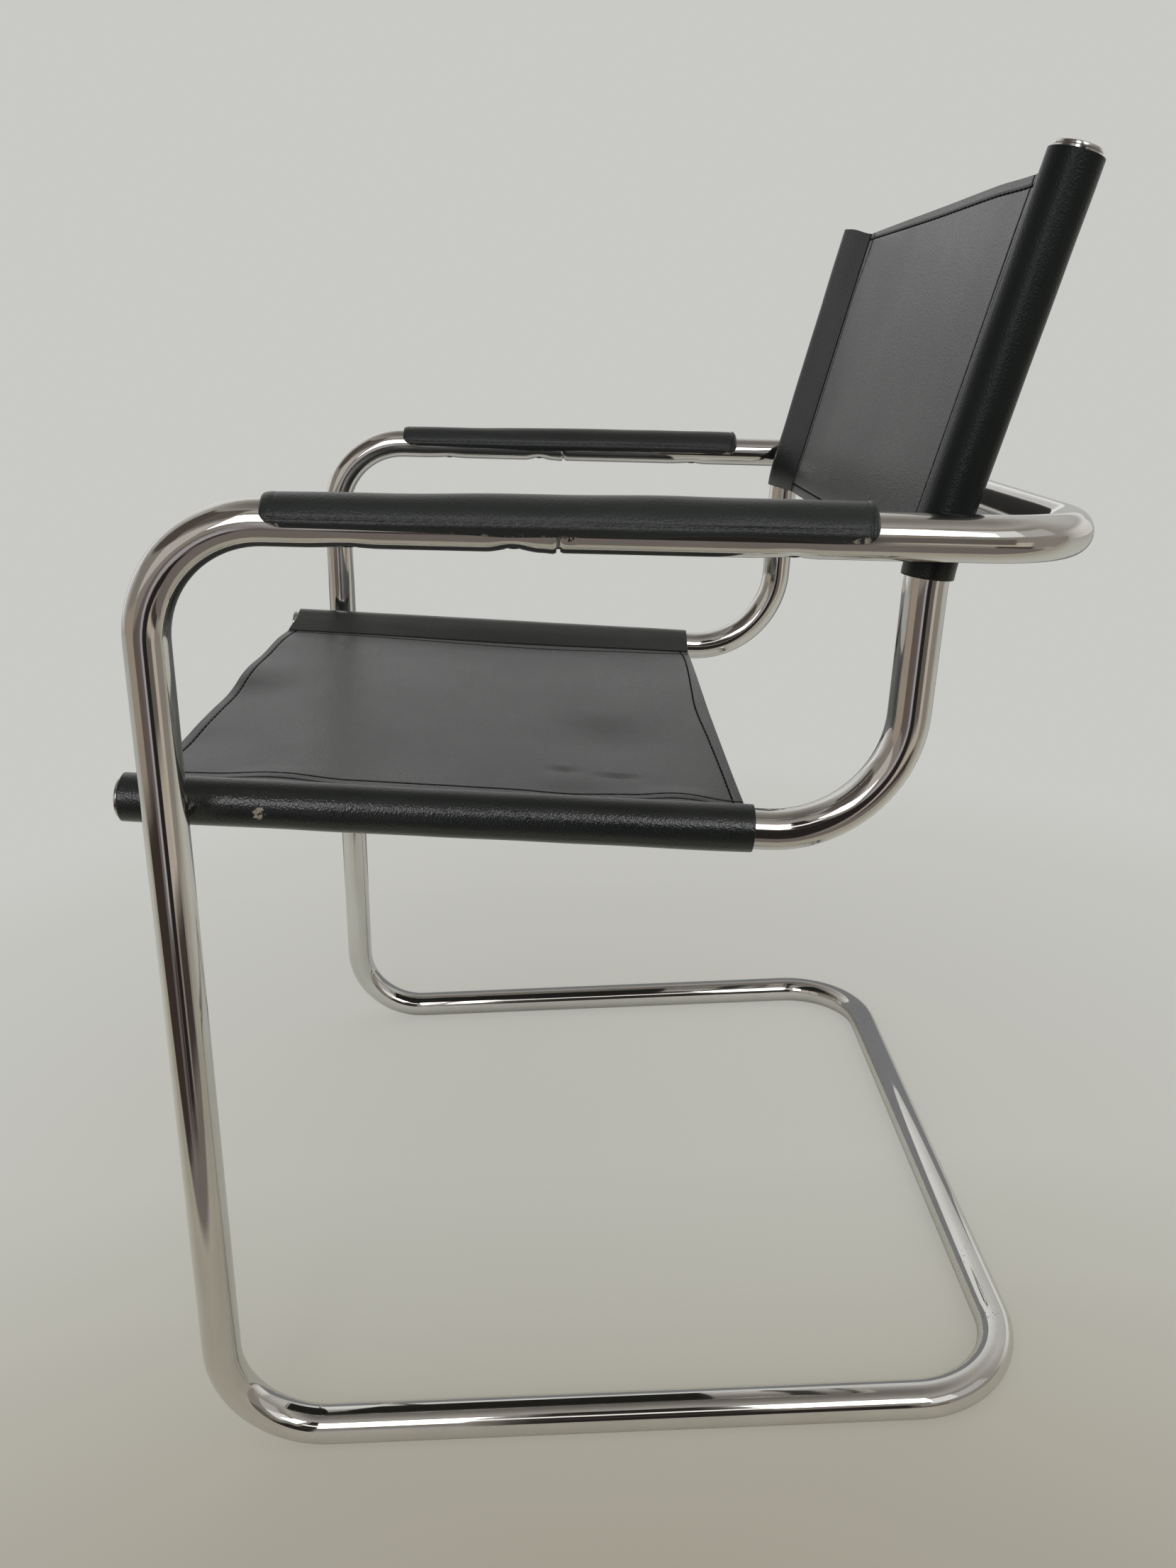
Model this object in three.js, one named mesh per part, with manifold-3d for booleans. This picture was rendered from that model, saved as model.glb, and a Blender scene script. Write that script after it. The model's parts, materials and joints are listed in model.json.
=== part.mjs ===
// A cantilever lounge chair: bent chromed tube, leather slings on the seat and the back,
// and leather pads on the arms. Millimetres, +Z up, the width lies along X and the chair faces -Y.

import * as THREE from 'three';
import { mergeVertices } from 'three/addons/utils/BufferGeometryUtils.js';
import Module from 'manifold-3d';

const wasm = await Module();
wasm.setup();

const { degToRad } = THREE.MathUtils;

// Overall sizes of the tube frame
const chair = { width: 590, depth: 571 };

// Clearance between pieces that touch, and how far a cutting solid runs past what it cuts
const touchGap = 0.3;
const overrun = 4;

// Steel tube, the same for every bent piece
const tube = { radius: 12.5, wall: 2, sides: 16, bendFlatness: 0.25 };

// Floor frame and legs: the foot corner stands back from the front of the chair
const base = { footSetback: 15.5, footBend: 65, rearBend: 75, legLean: degToRad(3.25) };

// Arms: the front part belongs to the leg tube, the rear part to the loop behind the back
const arm = {
  riseAboveSeat: 165.1, slope: degToRad(3.7), frontBend: 65, frontLength: 216.9, jointGap: 2,
  loopInset: 5, loopBend: 62,
};
const splice = { length: 80, wall: 2 };

// Seat and back side tubes, and how they lie against the legs and arms
const side = {
  standOff: 40.5, seatFrontHeight: 456.9, seatTilt: degToRad(5.65), seatBend: 75,
  uprightLean: degToRad(4), kneeBend: 120, kneeBelowArm: 23.3,
  backLean: degToRad(17.2), backAboveArm: 193.2, crossAheadOfBend: 13,
};

// Domed caps in the open ends of the side tubes
const cap = { disc: 1.2, dome: 2, plugLength: 12, rim: 0.5, domeSteps: 3 };

// Leather slings: a tunnel round each side tube, sewn shut towards the middle of the chair
const leather = { thickness: 1.6, ease: 0.5, endReveal: 1.5, tunnelSteps: 14 };
const seatSling = { stitchInset: 37, sheetDrop: 0, sag: 3, rearLead: 7 };
const backSling = { stitchInset: 48, sheetDrop: 1.1, sag: 2, belowArm: 27.3 };
const sheetSteps = 8;
const tunnelNose = 3;

// Arm pads: a moulded channel over the tube with a leather cover
const pad = {
  endAheadOfBack: 44.8, coreThickness: 2.4, coreWrap: degToRad(12), coverWrap: degToRad(8),
  endWall: 5, endLip: 1.2, endRound: 11, arcSteps: 12, endSteps: 4,
};

// Bolted joints between the side tubes and the legs and arms
const bolt = { radius: 3, headRadius: 5.5, headHeight: 2.6, headRound: 1, pastNut: 1.5 };
const spacer = { radius: 8 };
const nut = { sides: 6, flatRadius: 5, height: 5 };

// Screws that hold the arm pads, driven from under the arm
const screw = {
  radius: 2, headRadius: 4.2, headHeight: 2, headRound: 0.8,
  endInset: 44, aheadOfJoint: 22, tipBelowTop: 0.6,
};

const roundSteps = 12;
const capSteps = 16;

// Materials
const chrome = { color: 0xcfcdc8, roughness: 0.12, metalness: 1 };
const capSteel = { color: 0xc4c2bd, roughness: 0.2, metalness: 1 };
const blackLeather = { color: 0x26282a, roughness: 0.5, metalness: 0 };
const darkPlastic = { color: 0x1b1b1c, roughness: 0.6, metalness: 0 };
const zincSteel = { color: 0x9b9da0, roughness: 0.4, metalness: 1 };

// Places worked out from the sizes, in the side plane at X = 0

const frameX = chair.width / 2 - tube.radius;
const sideX = frameX - side.standOff;
const tubeCorner = tube.radius / Math.cos(Math.PI / tube.sides);
const tunnelRadius = tubeCorner + leather.ease;
const capReach = touchGap + cap.disc + cap.dome;

const inSidePlane = (angle) => new THREE.Vector3(0, Math.cos(angle), Math.sin(angle));
const legUp = inSidePlane(Math.PI / 2 - base.legLean);
const armBack = inSidePlane(-arm.slope);
const seatBack = inSidePlane(-side.seatTilt);
const uprightUp = inSidePlane(Math.PI / 2 - side.uprightLean);
const backUp = inSidePlane(Math.PI / 2 - side.backLean);

const along = (start, direction, distance) => start.clone().addScaledVector(direction, distance);
const atX = (point, x) => point.clone().setX(x);

// Where two lines of the side plane cross
function crossing(pointA, directionA, pointB, directionB) {
  const between = pointB.clone().sub(pointA);
  const share = between.cross(directionB).x / directionA.clone().cross(directionB).x;
  return along(pointA, directionA, share);
}

const footCorner = new THREE.Vector3(0, base.footSetback - chair.depth / 2, tube.radius);
const armCornerRise = side.seatFrontHeight + arm.riseAboveSeat - tube.radius;
const armCorner = along(footCorner, legUp, armCornerRise / legUp.z);
const floorRear = new THREE.Vector3(0, chair.depth / 2 - tube.radius, tube.radius);

const onArm = (y) => along(armCorner, armBack, (y - armCorner.y) / armBack.y);
const frontArmEnd = along(armCorner, armBack, arm.frontLength);
const loopStart = along(frontArmEnd, armBack, arm.jointGap);
const loopCorner = onArm(floorRear.y - arm.loopInset);
const armCross = onArm(loopCorner.y - arm.loopBend - side.crossAheadOfBend);

const backTop = along(armCross, backUp, side.backAboveArm);
const knee = along(armCross, backUp, -side.kneeBelowArm);
const seatFrontY = capReach * seatBack.y - chair.depth / 2;
const seatFront = new THREE.Vector3(0, seatFrontY, side.seatFrontHeight);
const seatCorner = crossing(knee, uprightUp, seatFront, seatBack);
const legCross = crossing(footCorner, legUp, seatFront, seatBack);

// A way along which a section is swept, given by its stations. A section's first axis lies along
// the width of the chair wherever the way stays in a side plane.
class Route extends THREE.Curve {
  constructor(stations) {
    super();
    this.stations = stations;
  }

  station(share) {
    return this.stations[Math.round(share * (this.stations.length - 1))];
  }

  getPoint(share, target = new THREE.Vector3()) {
    return target.copy(this.station(share).point);
  }

  getPointAt(share, target) {
    return this.getPoint(share, target);
  }

  getTangentAt(share, target = new THREE.Vector3()) {
    return target.copy(this.station(share).tangent);
  }

  computeFrenetFrames(segments) {
    const frames = super.computeFrenetFrames(segments, false);
    if (frames.normals[0].x < 0) {
      frames.normals.forEach((normal) => normal.negate());
      frames.binormals.forEach((binormal) => binormal.negate());
    }
    return frames;
  }
}

// Straight runs joined by round bends, with a place for every distance along them
class BentPath {
  constructor(corners, radii) {
    this.runs = [];
    this.length = 0;
    let start = corners[0];
    radii.forEach((radius, index) => {
      const corner = corners[index + 1];
      const into = corner.clone().sub(corners[index]).normalize();
      const out = corners[index + 2].clone().sub(corner).normalize();
      const turn = into.angleTo(out);
      const setback = radius * Math.tan(turn / 2);
      this.addLine(start, along(corner, into, -setback));
      this.addBend(along(corner, into, -setback), into, out, radius, turn);
      start = along(corner, out, setback);
    });
    this.addLine(start, corners[corners.length - 1]);
  }

  addLine(start, end) {
    const length = start.distanceTo(end);
    const tangent = end.clone().sub(start).normalize();
    const place = (distance) => ({ point: along(start, tangent, distance), tangent });
    this.runs.push({ begin: this.length, length, pieces: 1, place });
    this.length += length;
  }

  addBend(start, into, out, radius, turn) {
    const inward = along(out, into, -out.dot(into)).normalize();
    const place = (distance) => {
      const angle = distance / radius;
      const point = along(start, into, radius * Math.sin(angle));
      point.addScaledVector(inward, radius * (1 - Math.cos(angle)));
      const tangent = into.clone().multiplyScalar(Math.cos(angle));
      return { point, tangent: tangent.addScaledVector(inward, Math.sin(angle)) };
    };
    const pieces = Math.ceil(turn * Math.sqrt(radius / tube.bendFlatness / 8));
    this.runs.push({ begin: this.length, length: radius * turn, pieces, place });
    this.length += radius * turn;
  }

  place(distance) {
    const inside = (run) => distance <= run.begin + run.length;
    const run = this.runs.find(inside) ?? this.runs[this.runs.length - 1];
    return run.place(distance - run.begin);
  }

  // Stations from one distance to another: both ends, and every step of the bends between them
  between(from, to) {
    const marks = this.runs.flatMap((run) => {
      const step = run.length / run.pieces;
      return Array.from({ length: run.pieces }, (_, index) => run.begin + index * step);
    });
    const inner = marks.filter((mark) => mark > from + touchGap && mark < to - touchGap);
    return new Route([from, ...inner, to].map((distance) => this.place(distance)));
  }

  whole() {
    return this.between(0, this.length);
  }
}

// Points of an arc whose sides touch the circle from outside
function arcPoints(radius, from, to, steps, centreX = 0) {
  const step = (to - from) / steps;
  const reach = radius / Math.cos(step / 2);
  return Array.from({ length: steps }, (_, index) => {
    const angle = from + (index + 0.5) * step;
    return new THREE.Vector2(centreX + reach * Math.cos(angle), reach * Math.sin(angle));
  });
}

const fullTurn = 2 * Math.PI;
const circlePoints = (radius, sides) => arcPoints(radius, 0, fullTurn, sides);

// A pipe stands on a flat of its outline, and not on a corner
function pipeSection(radius, wall) {
  const section = new THREE.Shape(circlePoints(radius, tube.sides));
  section.holes.push(new THREE.Path(circlePoints(radius - wall, tube.sides)));
  return section;
}

function sweep(section, route) {
  const steps = route.stations.length - 1;
  return new THREE.ExtrudeGeometry(section, { steps, extrudePath: route });
}

// Solids for cutting and joining
function solidOf(geometry) {
  const bare = geometry.clone();
  bare.deleteAttribute('normal');
  bare.deleteAttribute('uv');
  const merged = mergeVertices(bare);
  const vertProperties = Float32Array.from(merged.attributes.position.array);
  const triVerts = Uint32Array.from(merged.index.array);
  return new wasm.Manifold(new wasm.Mesh({ numProp: 3, vertProperties, triVerts }));
}

function geometryOf(solid) {
  const mesh = solid.getMesh();
  const geometry = new THREE.BufferGeometry();
  const positions = new THREE.BufferAttribute(new Float32Array(mesh.vertProperties), mesh.numProp);
  geometry.setAttribute('position', positions);
  geometry.setIndex(new THREE.BufferAttribute(new Uint32Array(mesh.triVerts), 1));
  return geometry;
}

function cutAway(geometry, cutters) {
  const start = solidOf(geometry);
  return geometryOf(cutters.reduce((solid, cutter) => solid.subtract(solidOf(cutter)), start));
}

// A round rod between two points
function rod(radius, from, to) {
  const reach = radius / Math.cos(Math.PI / roundSteps);
  const geometry = new THREE.CylinderGeometry(reach, reach, from.distanceTo(to), roundSteps);
  const turn = new THREE.Quaternion();
  turn.setFromUnitVectors(THREE.Object3D.DEFAULT_UP, to.clone().sub(from).normalize());
  geometry.applyQuaternion(turn);
  const middle = from.clone().add(to).divideScalar(2);
  return geometry.translate(middle.x, middle.y, middle.z);
}

const model = new THREE.Group();

function addPiece(name, geometry, material) {
  const piece = new THREE.Mesh(geometry, new THREE.MeshStandardMaterial(material));
  piece.name = name;
  model.add(piece);
  return piece;
}

const sides = [{ name: 'right', sign: 1 }, { name: 'left', sign: -1 }];

// Bolted joints, at the crossings with the legs and the arms
const joints = [
  { name: 'seat', cross: legCross, frameLine: legUp, sideLine: seatBack },
  { name: 'back', cross: armCross, frameLine: armBack, sideLine: backUp },
];
const boltHole = bolt.radius + touchGap;
const acrossFrom = (cross, sign, from, to) => [atX(cross, sign * from), atX(cross, sign * to)];

// The pads reach from the front bends almost to the back. Their ends and their screws are given
// as distances behind the arm corner.
const padStart = arm.frontBend * Math.tan(legUp.angleTo(armBack) / 2);
const padEnd = armCross.distanceTo(armCorner) - pad.endAheadOfBack;
const screws = [
  { name: 'front', distance: padStart + screw.endInset },
  { name: 'middle', distance: arm.frontLength - screw.aheadOfJoint },
  { name: 'rear', distance: padEnd - screw.endInset },
];
const armUp = inSidePlane(Math.PI / 2 - arm.slope);

function screwHoles(x) {
  const reach = tubeCorner + overrun;
  return screws.map(({ distance }) => {
    const middle = atX(along(armCorner, armBack, distance), x);
    return rod(screw.radius + touchGap, along(middle, armUp, -reach), along(middle, armUp, reach));
  });
}

// One bolt hole through the inner wall of a leg or an arm
function frameBoltHole(joint, sign) {
  const [inner, outer] = acrossFrom(joint.cross, sign, frameX - tubeCorner - overrun, frameX);
  return rod(boltHole, inner, outer);
}

// Floor frame, legs and front arms: one bent tube with its holes
function frontFrameTube() {
  const line = [frontArmEnd, armCorner, footCorner, floorRear];
  const right = line.map((point) => atX(point, frameX));
  const left = line.map((point) => atX(point, -frameX)).reverse();
  const halfBends = [arm.frontBend, base.footBend, base.rearBend];
  const bends = [...halfBends, ...halfBends.slice().reverse()];
  const path = new BentPath([...right, ...left], bends);
  const cutters = sides.flatMap(({ sign }) => [
    frameBoltHole(joints[0], sign),
    ...screwHoles(sign * frameX),
  ]);
  const pipe = sweep(pipeSection(tube.radius, tube.wall), path.whole());
  addPiece('front_frame_tube', cutAway(pipe, cutters), chrome);
}

// Rear arms and the bar behind the back: the second bent tube
function rearArmLoop() {
  const line = [loopStart, loopCorner];
  const corners = [
    ...line.map((point) => atX(point, frameX)),
    ...line.map((point) => atX(point, -frameX)).reverse(),
  ];
  const path = new BentPath(corners, [arm.loopBend, arm.loopBend]);
  const cutters = sides.flatMap(({ sign }) => [
    frameBoltHole(joints[1], sign),
    ...screwHoles(sign * frameX),
  ]);
  const pipe = sweep(pipeSection(tube.radius, tube.wall), path.whole());
  addPiece('rear_arm_loop', cutAway(pipe, cutters), chrome);
}

// A sleeve inside each arm joins the two bent tubes
function armSplice({ name, sign }) {
  const x = sign * frameX;
  const middle = along(frontArmEnd, armBack, arm.jointGap / 2);
  const start = atX(along(middle, armBack, -splice.length / 2), x);
  const end = atX(along(middle, armBack, splice.length / 2), x);
  const path = new BentPath([start, end], []);
  const section = pipeSection(tube.radius - tube.wall - touchGap, splice.wall);
  const geometry = cutAway(sweep(section, path.whole()), screwHoles(x));
  addPiece(`arm_splice_${name}`, geometry, zincSteel);
}

// Seat and back side tube, from the top of the back to the front of the seat
function sidePath(sign) {
  const corners = [backTop, knee, seatCorner, seatFront].map((point) => atX(point, sign * sideX));
  return new BentPath(corners, [side.kneeBend, side.seatBend]);
}

function sideTube({ name, sign }) {
  const cutters = joints.map(({ cross }) => {
    const reach = tubeCorner + overrun;
    const [inner, outer] = acrossFrom(cross, sign, sideX - reach, sideX + reach);
    return rod(boltHole, inner, outer);
  });
  const pipe = sweep(pipeSection(tube.radius, tube.wall), sidePath(sign).whole());
  addPiece(`side_tube_${name}`, cutAway(pipe, cutters), chrome);
}

// Cap: a plug inside the tube under a domed disc, turned about its own axis
function capGeometry() {
  const plugRadius = tube.radius - tube.wall - touchGap;
  const rimTop = touchGap + cap.disc;
  const domeRadius = tube.radius - cap.rim;
  const sphere = (domeRadius ** 2 + cap.dome ** 2) / (2 * cap.dome);
  const opening = Math.asin(domeRadius / sphere);
  const dome = Array.from({ length: cap.domeSteps }, (_, index) => {
    const angle = opening * (1 - index / cap.domeSteps);
    const height = rimTop + cap.dome - sphere * (1 - Math.cos(angle));
    return new THREE.Vector2(sphere * Math.sin(angle), height);
  });
  const profile = [
    new THREE.Vector2(0, -cap.plugLength),
    new THREE.Vector2(plugRadius, -cap.plugLength),
    new THREE.Vector2(plugRadius, touchGap),
    new THREE.Vector2(tube.radius, touchGap),
    new THREE.Vector2(tube.radius, rimTop - cap.rim),
    ...dome,
    new THREE.Vector2(0, rimTop + cap.dome),
  ];
  return new THREE.LatheGeometry(profile, capSteps);
}

function endCaps({ name, sign }) {
  const ends = [
    { name: 'seat', place: seatFront, out: seatBack.clone().negate() },
    { name: 'back', place: backTop, out: backUp },
  ];
  ends.forEach((end) => {
    const piece = addPiece(`${end.name}_end_cap_${name}`, capGeometry(), capSteel);
    piece.position.copy(atX(end.place, sign * sideX));
    piece.quaternion.setFromUnitVectors(THREE.Object3D.DEFAULT_UP, end.out);
  });
}

// Section of a sling: its sheet, and at each side a drop-shaped tunnel round the side tube.
// The first axis is the chair's width, the second the side on which one sits.
function slingSection({ stitchInset, sheetDrop, sag }) {
  const stitchX = sideX - stitchInset;
  const angleTo = (point) => (Math.atan2(point.y, point.x - sideX) + fullTurn) % fullTurn;
  const tangentArc = (radius, low, high) => {
    const lowReach = Math.acos(radius / Math.hypot(low.y, low.x - sideX));
    const highReach = Math.acos(radius / Math.hypot(high.y, high.x - sideX));
    const from = angleTo(low) + lowReach - fullTurn;
    return arcPoints(radius, from, angleTo(high) - highReach, leather.tunnelSteps, sideX);
  };
  const sheet = (offset) => Array.from({ length: sheetSteps + 1 }, (_, index) => {
    const share = 2 * index / sheetSteps - 1;
    const height = offset - sheetDrop - sag * (1 - share ** 2);
    return new THREE.Vector2(share * stitchX, height);
  });
  const under = sheet(-leather.thickness);
  const over = sheet(leather.thickness).reverse();
  const mirrored = (points) => points.map((point) => new THREE.Vector2(-point.x, point.y)).reverse();
  const outerArc = tangentArc(tunnelRadius + leather.thickness, under.at(-1), over[0]);
  const section = new THREE.Shape([...under, ...outerArc, ...over, ...mirrored(outerArc)]);
  const nose = new THREE.Vector2(stitchX + tunnelNose, -sheetDrop);
  const tunnel = [nose, ...tangentArc(tunnelRadius, nose, nose)];
  section.holes.push(new THREE.Path(tunnel), new THREE.Path(mirrored(tunnel)));
  return section;
}

// The spacer comes out through a hole in each tunnel
function spacerHoles(joint) {
  return sides.map(({ sign }) => {
    const [inner, outer] = acrossFrom(joint.cross, sign, sideX, frameX);
    return rod(spacer.radius + touchGap, inner, outer);
  });
}

function seatSlingPiece() {
  const path = sidePath(0);
  const start = path.runs.at(-1).begin + seatSling.rearLead;
  const route = path.between(start, path.length - leather.endReveal);
  const geometry = sweep(slingSection(seatSling), route);
  addPiece('seat_sling', cutAway(geometry, spacerHoles(joints[0])), blackLeather);
}

function backSlingPiece() {
  const end = side.backAboveArm + backSling.belowArm;
  const geometry = sweep(slingSection(backSling), sidePath(0).between(leather.endReveal, end));
  addPiece('back_sling', cutAway(geometry, spacerHoles(joints[1])), blackLeather);
}

// Section of an arm pad piece: an arch over the tube, its ends a little below the middle
function archSection(inner, outer, wrap) {
  const outside = arcPoints(outer, -wrap, Math.PI + wrap, pad.arcSteps);
  const inside = arcPoints(inner, -wrap, Math.PI + wrap, pad.arcSteps).reverse();
  const foot = (radius, angle) => new THREE.Vector2(radius * Math.cos(angle), radius * Math.sin(angle));
  return new THREE.Shape([
    foot(outer, -wrap), ...outside, foot(outer, Math.PI + wrap),
    foot(inner, Math.PI + wrap), ...inside, foot(inner, -wrap),
  ]);
}

// A straight run over the arm tube, from its rear to its front, so that a section stands upright
function armRoute(x, from, to, marks = []) {
  const distances = [from, ...marks, to].reverse();
  const tangent = armBack.clone().negate();
  return new Route(distances.map((distance) => (
    { point: atX(along(armCorner, armBack, distance), x), tangent }
  )));
}

const coreRadius = tunnelRadius + pad.coreThickness;
const coverInner = coreRadius + touchGap;
const coverRadius = coverInner + leather.thickness;

function armPadCore({ name, sign }) {
  const x = sign * frameX;
  const setback = pad.endWall + touchGap;
  const section = archSection(tunnelRadius, coreRadius, pad.coreWrap);
  const arch = sweep(section, armRoute(x, padStart + setback, padEnd - setback));
  addPiece(`arm_pad_core_${name}`, cutAway(arch, screwHoles(x)), darkPlastic);
}

// The cover narrows to a lip at both ends, and is hollow where the core lies
function armPadCover({ name, sign }) {
  const x = sign * frameX;
  const steps = Array.from({ length: pad.endSteps }, (_, index) => {
    const angle = (index + 1) / pad.endSteps * Math.PI / 2;
    return pad.endRound * (1 - Math.cos(angle));
  });
  const marks = [
    ...steps.map((step) => padStart + step),
    ...steps.map((step) => padEnd - step).reverse(),
  ];
  const section = archSection(tunnelRadius, coverRadius, pad.coverWrap);
  const arch = sweep(section, armRoute(x, padStart, padEnd, marks));
  roundPadEnds(arch, x);
  const hollow = archSection(tunnelRadius - overrun, coverInner, pad.coreWrap);
  const cavity = sweep(hollow, armRoute(x, padStart + pad.endWall, padEnd - pad.endWall));
  addPiece(`arm_pad_cover_${name}`, cutAway(arch, [cavity]), blackLeather);
}

function roundPadEnds(geometry, x) {
  const position = geometry.attributes.position;
  const origin = atX(armCorner, x);
  const endRadius = tunnelRadius + pad.endLip;
  for (let index = 0; index < position.count; index += 1) {
    const point = new THREE.Vector3().fromBufferAttribute(position, index);
    const distance = point.clone().sub(origin).dot(armBack);
    const centre = along(origin, armBack, distance);
    const fromEnd = Math.min(distance - padStart, padEnd - distance, pad.endRound);
    const rise = Math.sqrt(Math.max(0, 1 - (1 - fromEnd / pad.endRound) ** 2));
    if (point.distanceTo(centre) > coreRadius) {
      const radius = THREE.MathUtils.lerp(endRadius, coverRadius, rise);
      point.sub(centre).multiplyScalar(radius / coverRadius).add(centre);
      position.setXYZ(index, point.x, point.y, point.z);
    }
  }
}

// A headed pin about its own axis, its head below the seat and its shank above
function headedPin({ radius, headRadius, headHeight, headRound }, seat, tip) {
  return new THREE.LatheGeometry([
    new THREE.Vector2(0, seat - headHeight),
    new THREE.Vector2(headRadius - headRound, seat - headHeight),
    new THREE.Vector2(headRadius, seat - headHeight + headRound),
    new THREE.Vector2(headRadius, seat),
    new THREE.Vector2(radius, seat),
    new THREE.Vector2(radius, tip),
    new THREE.Vector2(0, tip),
  ], roundSteps);
}

const tubeSeat = tube.radius + touchGap;

function armPadScrews({ name, sign }) {
  const tip = coreRadius - screw.tipBelowTop;
  screws.forEach((place) => {
    const pin = headedPin(screw, -tubeSeat, tip);
    const piece = addPiece(`arm_pad_screw_${name}_${place.name}`, pin, zincSteel);
    piece.position.copy(atX(along(armCorner, armBack, place.distance), sign * frameX));
    piece.quaternion.setFromUnitVectors(THREE.Object3D.DEFAULT_UP, armUp);
  });
}

// The nut sits against the inner wall of the leg or arm, where its corners meet the round
const nutCorner = nut.flatRadius / Math.cos(Math.PI / nut.sides);
const nutSeat = Math.sqrt((tube.radius - tube.wall) ** 2 - nutCorner ** 2) - touchGap;

function boltPiece(joint, { name, sign }) {
  const tip = side.standOff - nutSeat + nut.height + bolt.pastNut;
  const piece = addPiece(`${joint.name}_bolt_${name}`, headedPin(bolt, -tubeSeat, tip), zincSteel);
  piece.position.copy(atX(joint.cross, sign * sideX));
  piece.quaternion.setFromUnitVectors(THREE.Object3D.DEFAULT_UP, new THREE.Vector3(sign, 0, 0));
}

function nutPiece(joint, { name, sign }) {
  const section = new THREE.Shape(circlePoints(nut.flatRadius, nut.sides));
  section.holes.push(new THREE.Path(circlePoints(boltHole, roundSteps)));
  const geometry = new THREE.ExtrudeGeometry(section, { depth: nut.height, bevelEnabled: false });
  const piece = addPiece(`${joint.name}_nut_${name}`, geometry, zincSteel);
  piece.position.copy(atX(joint.cross, sign * (frameX - nutSeat)));
  piece.quaternion.setFromUnitVectors(new THREE.Vector3(0, 0, 1), new THREE.Vector3(sign, 0, 0));
}

// The spacer is a bush whose ends are hollowed to fit both tubes
function spacerPiece(joint, { name, sign }) {
  const [inner, outer] = acrossFrom(joint.cross, sign, sideX, frameX);
  const reach = spacer.radius + overrun;
  const cutters = [
    rod(tubeCorner + touchGap, along(inner, joint.sideLine, -reach), along(inner, joint.sideLine, reach)),
    rod(tubeCorner + touchGap, along(outer, joint.frameLine, -reach), along(outer, joint.frameLine, reach)),
    rod(boltHole, inner, outer),
  ];
  addPiece(`${joint.name}_spacer_${name}`, cutAway(rod(spacer.radius, inner, outer), cutters), chrome);
}

frontFrameTube();
rearArmLoop();
sides.forEach(armSplice);
sides.forEach(sideTube);
sides.forEach(endCaps);
seatSlingPiece();
backSlingPiece();
sides.forEach(armPadCore);
sides.forEach(armPadCover);
sides.forEach(armPadScrews);
joints.forEach((joint) => {
  sides.forEach((place) => {
    boltPiece(joint, place);
    nutPiece(joint, place);
    spacerPiece(joint, place);
  });
});

export default model;
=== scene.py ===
# Cantilever lounge chair: bent chromed tube, black leather seat and back, leather pads on the arms.
# Metres, +Z up, the width lies along X and the chair faces -Y. The right side is +X.

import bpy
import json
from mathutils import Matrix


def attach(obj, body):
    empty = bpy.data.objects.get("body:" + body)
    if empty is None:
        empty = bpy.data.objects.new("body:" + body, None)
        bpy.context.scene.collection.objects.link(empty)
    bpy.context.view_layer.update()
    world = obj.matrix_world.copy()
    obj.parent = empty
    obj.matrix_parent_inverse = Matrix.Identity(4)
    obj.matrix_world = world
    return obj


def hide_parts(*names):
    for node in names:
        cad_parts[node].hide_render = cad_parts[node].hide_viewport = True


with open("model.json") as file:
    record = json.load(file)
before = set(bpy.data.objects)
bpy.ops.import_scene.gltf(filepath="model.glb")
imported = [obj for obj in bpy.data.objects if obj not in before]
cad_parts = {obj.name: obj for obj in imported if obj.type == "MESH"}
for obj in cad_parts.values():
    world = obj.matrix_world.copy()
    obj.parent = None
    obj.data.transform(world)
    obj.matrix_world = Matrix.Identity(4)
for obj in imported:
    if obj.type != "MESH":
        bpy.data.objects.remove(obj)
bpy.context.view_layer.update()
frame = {"nodes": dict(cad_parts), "record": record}

import json
import math

import bmesh
import bpy
from mathutils import Matrix, Vector, noise

print("frame loaded:", len(frame["nodes"]), "nodes")

# Camera

photoCamera = {        # lens and film in millimetres
    "place": (0.91818, -0.00862, 0.69408), "turnDegrees": (70.3493, 2.22329, 89.1713),
    "lens": 27.872, "film": 36, "nearest": 0.01,
}


def makeCamera():
    data = bpy.data.cameras.new("photoCamera")
    data.sensor_fit = "VERTICAL"
    data.sensor_height = data.sensor_width = photoCamera["film"]
    data.lens = photoCamera["lens"]
    data.clip_start = photoCamera["nearest"]
    camera = bpy.data.objects.new("photoCamera", data)
    camera.location = photoCamera["place"]
    camera.rotation_euler = [math.radians(angle) for angle in photoCamera["turnDegrees"]]
    bpy.context.scene.collection.objects.link(camera)
    bpy.context.scene.camera = camera


makeCamera()

# Sizes of the frame, the same as the solids have

chair = {"width": 0.590, "depth": 0.571}
tube = {"radius": 0.0125, "wall": 0.002, "sides": 48, "step": 0.012, "bendStep": 0.005}
base = {"footSetback": 0.0155, "footBend": 0.065, "rearBend": 0.075, "legLean": math.radians(3.25)}
arm = {
    "riseAboveSeat": 0.1651, "slope": math.radians(3.7), "frontBend": 0.065,
    "frontLength": 0.2169, "jointGap": 0.002, "loopInset": 0.005, "loopBend": 0.062,
}
side = {
    "standOff": 0.0405, "seatFrontHeight": 0.4569, "seatTilt": math.radians(5.65),
    "seatBend": 0.075, "uprightLean": math.radians(4), "kneeBend": 0.120, "kneeBelowArm": 0.0233,
    "backLean": math.radians(17.2), "backAboveArm": 0.1932, "crossAheadOfBend": 0.013,
}
endCap = {"gap": 0.0003, "disc": 0.0012, "dome": 0.002}


def inSidePlane(angle):
    return Vector((0, math.cos(angle), math.sin(angle)))


def atX(point, x):
    return Vector((x, point.y, point.z))


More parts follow.
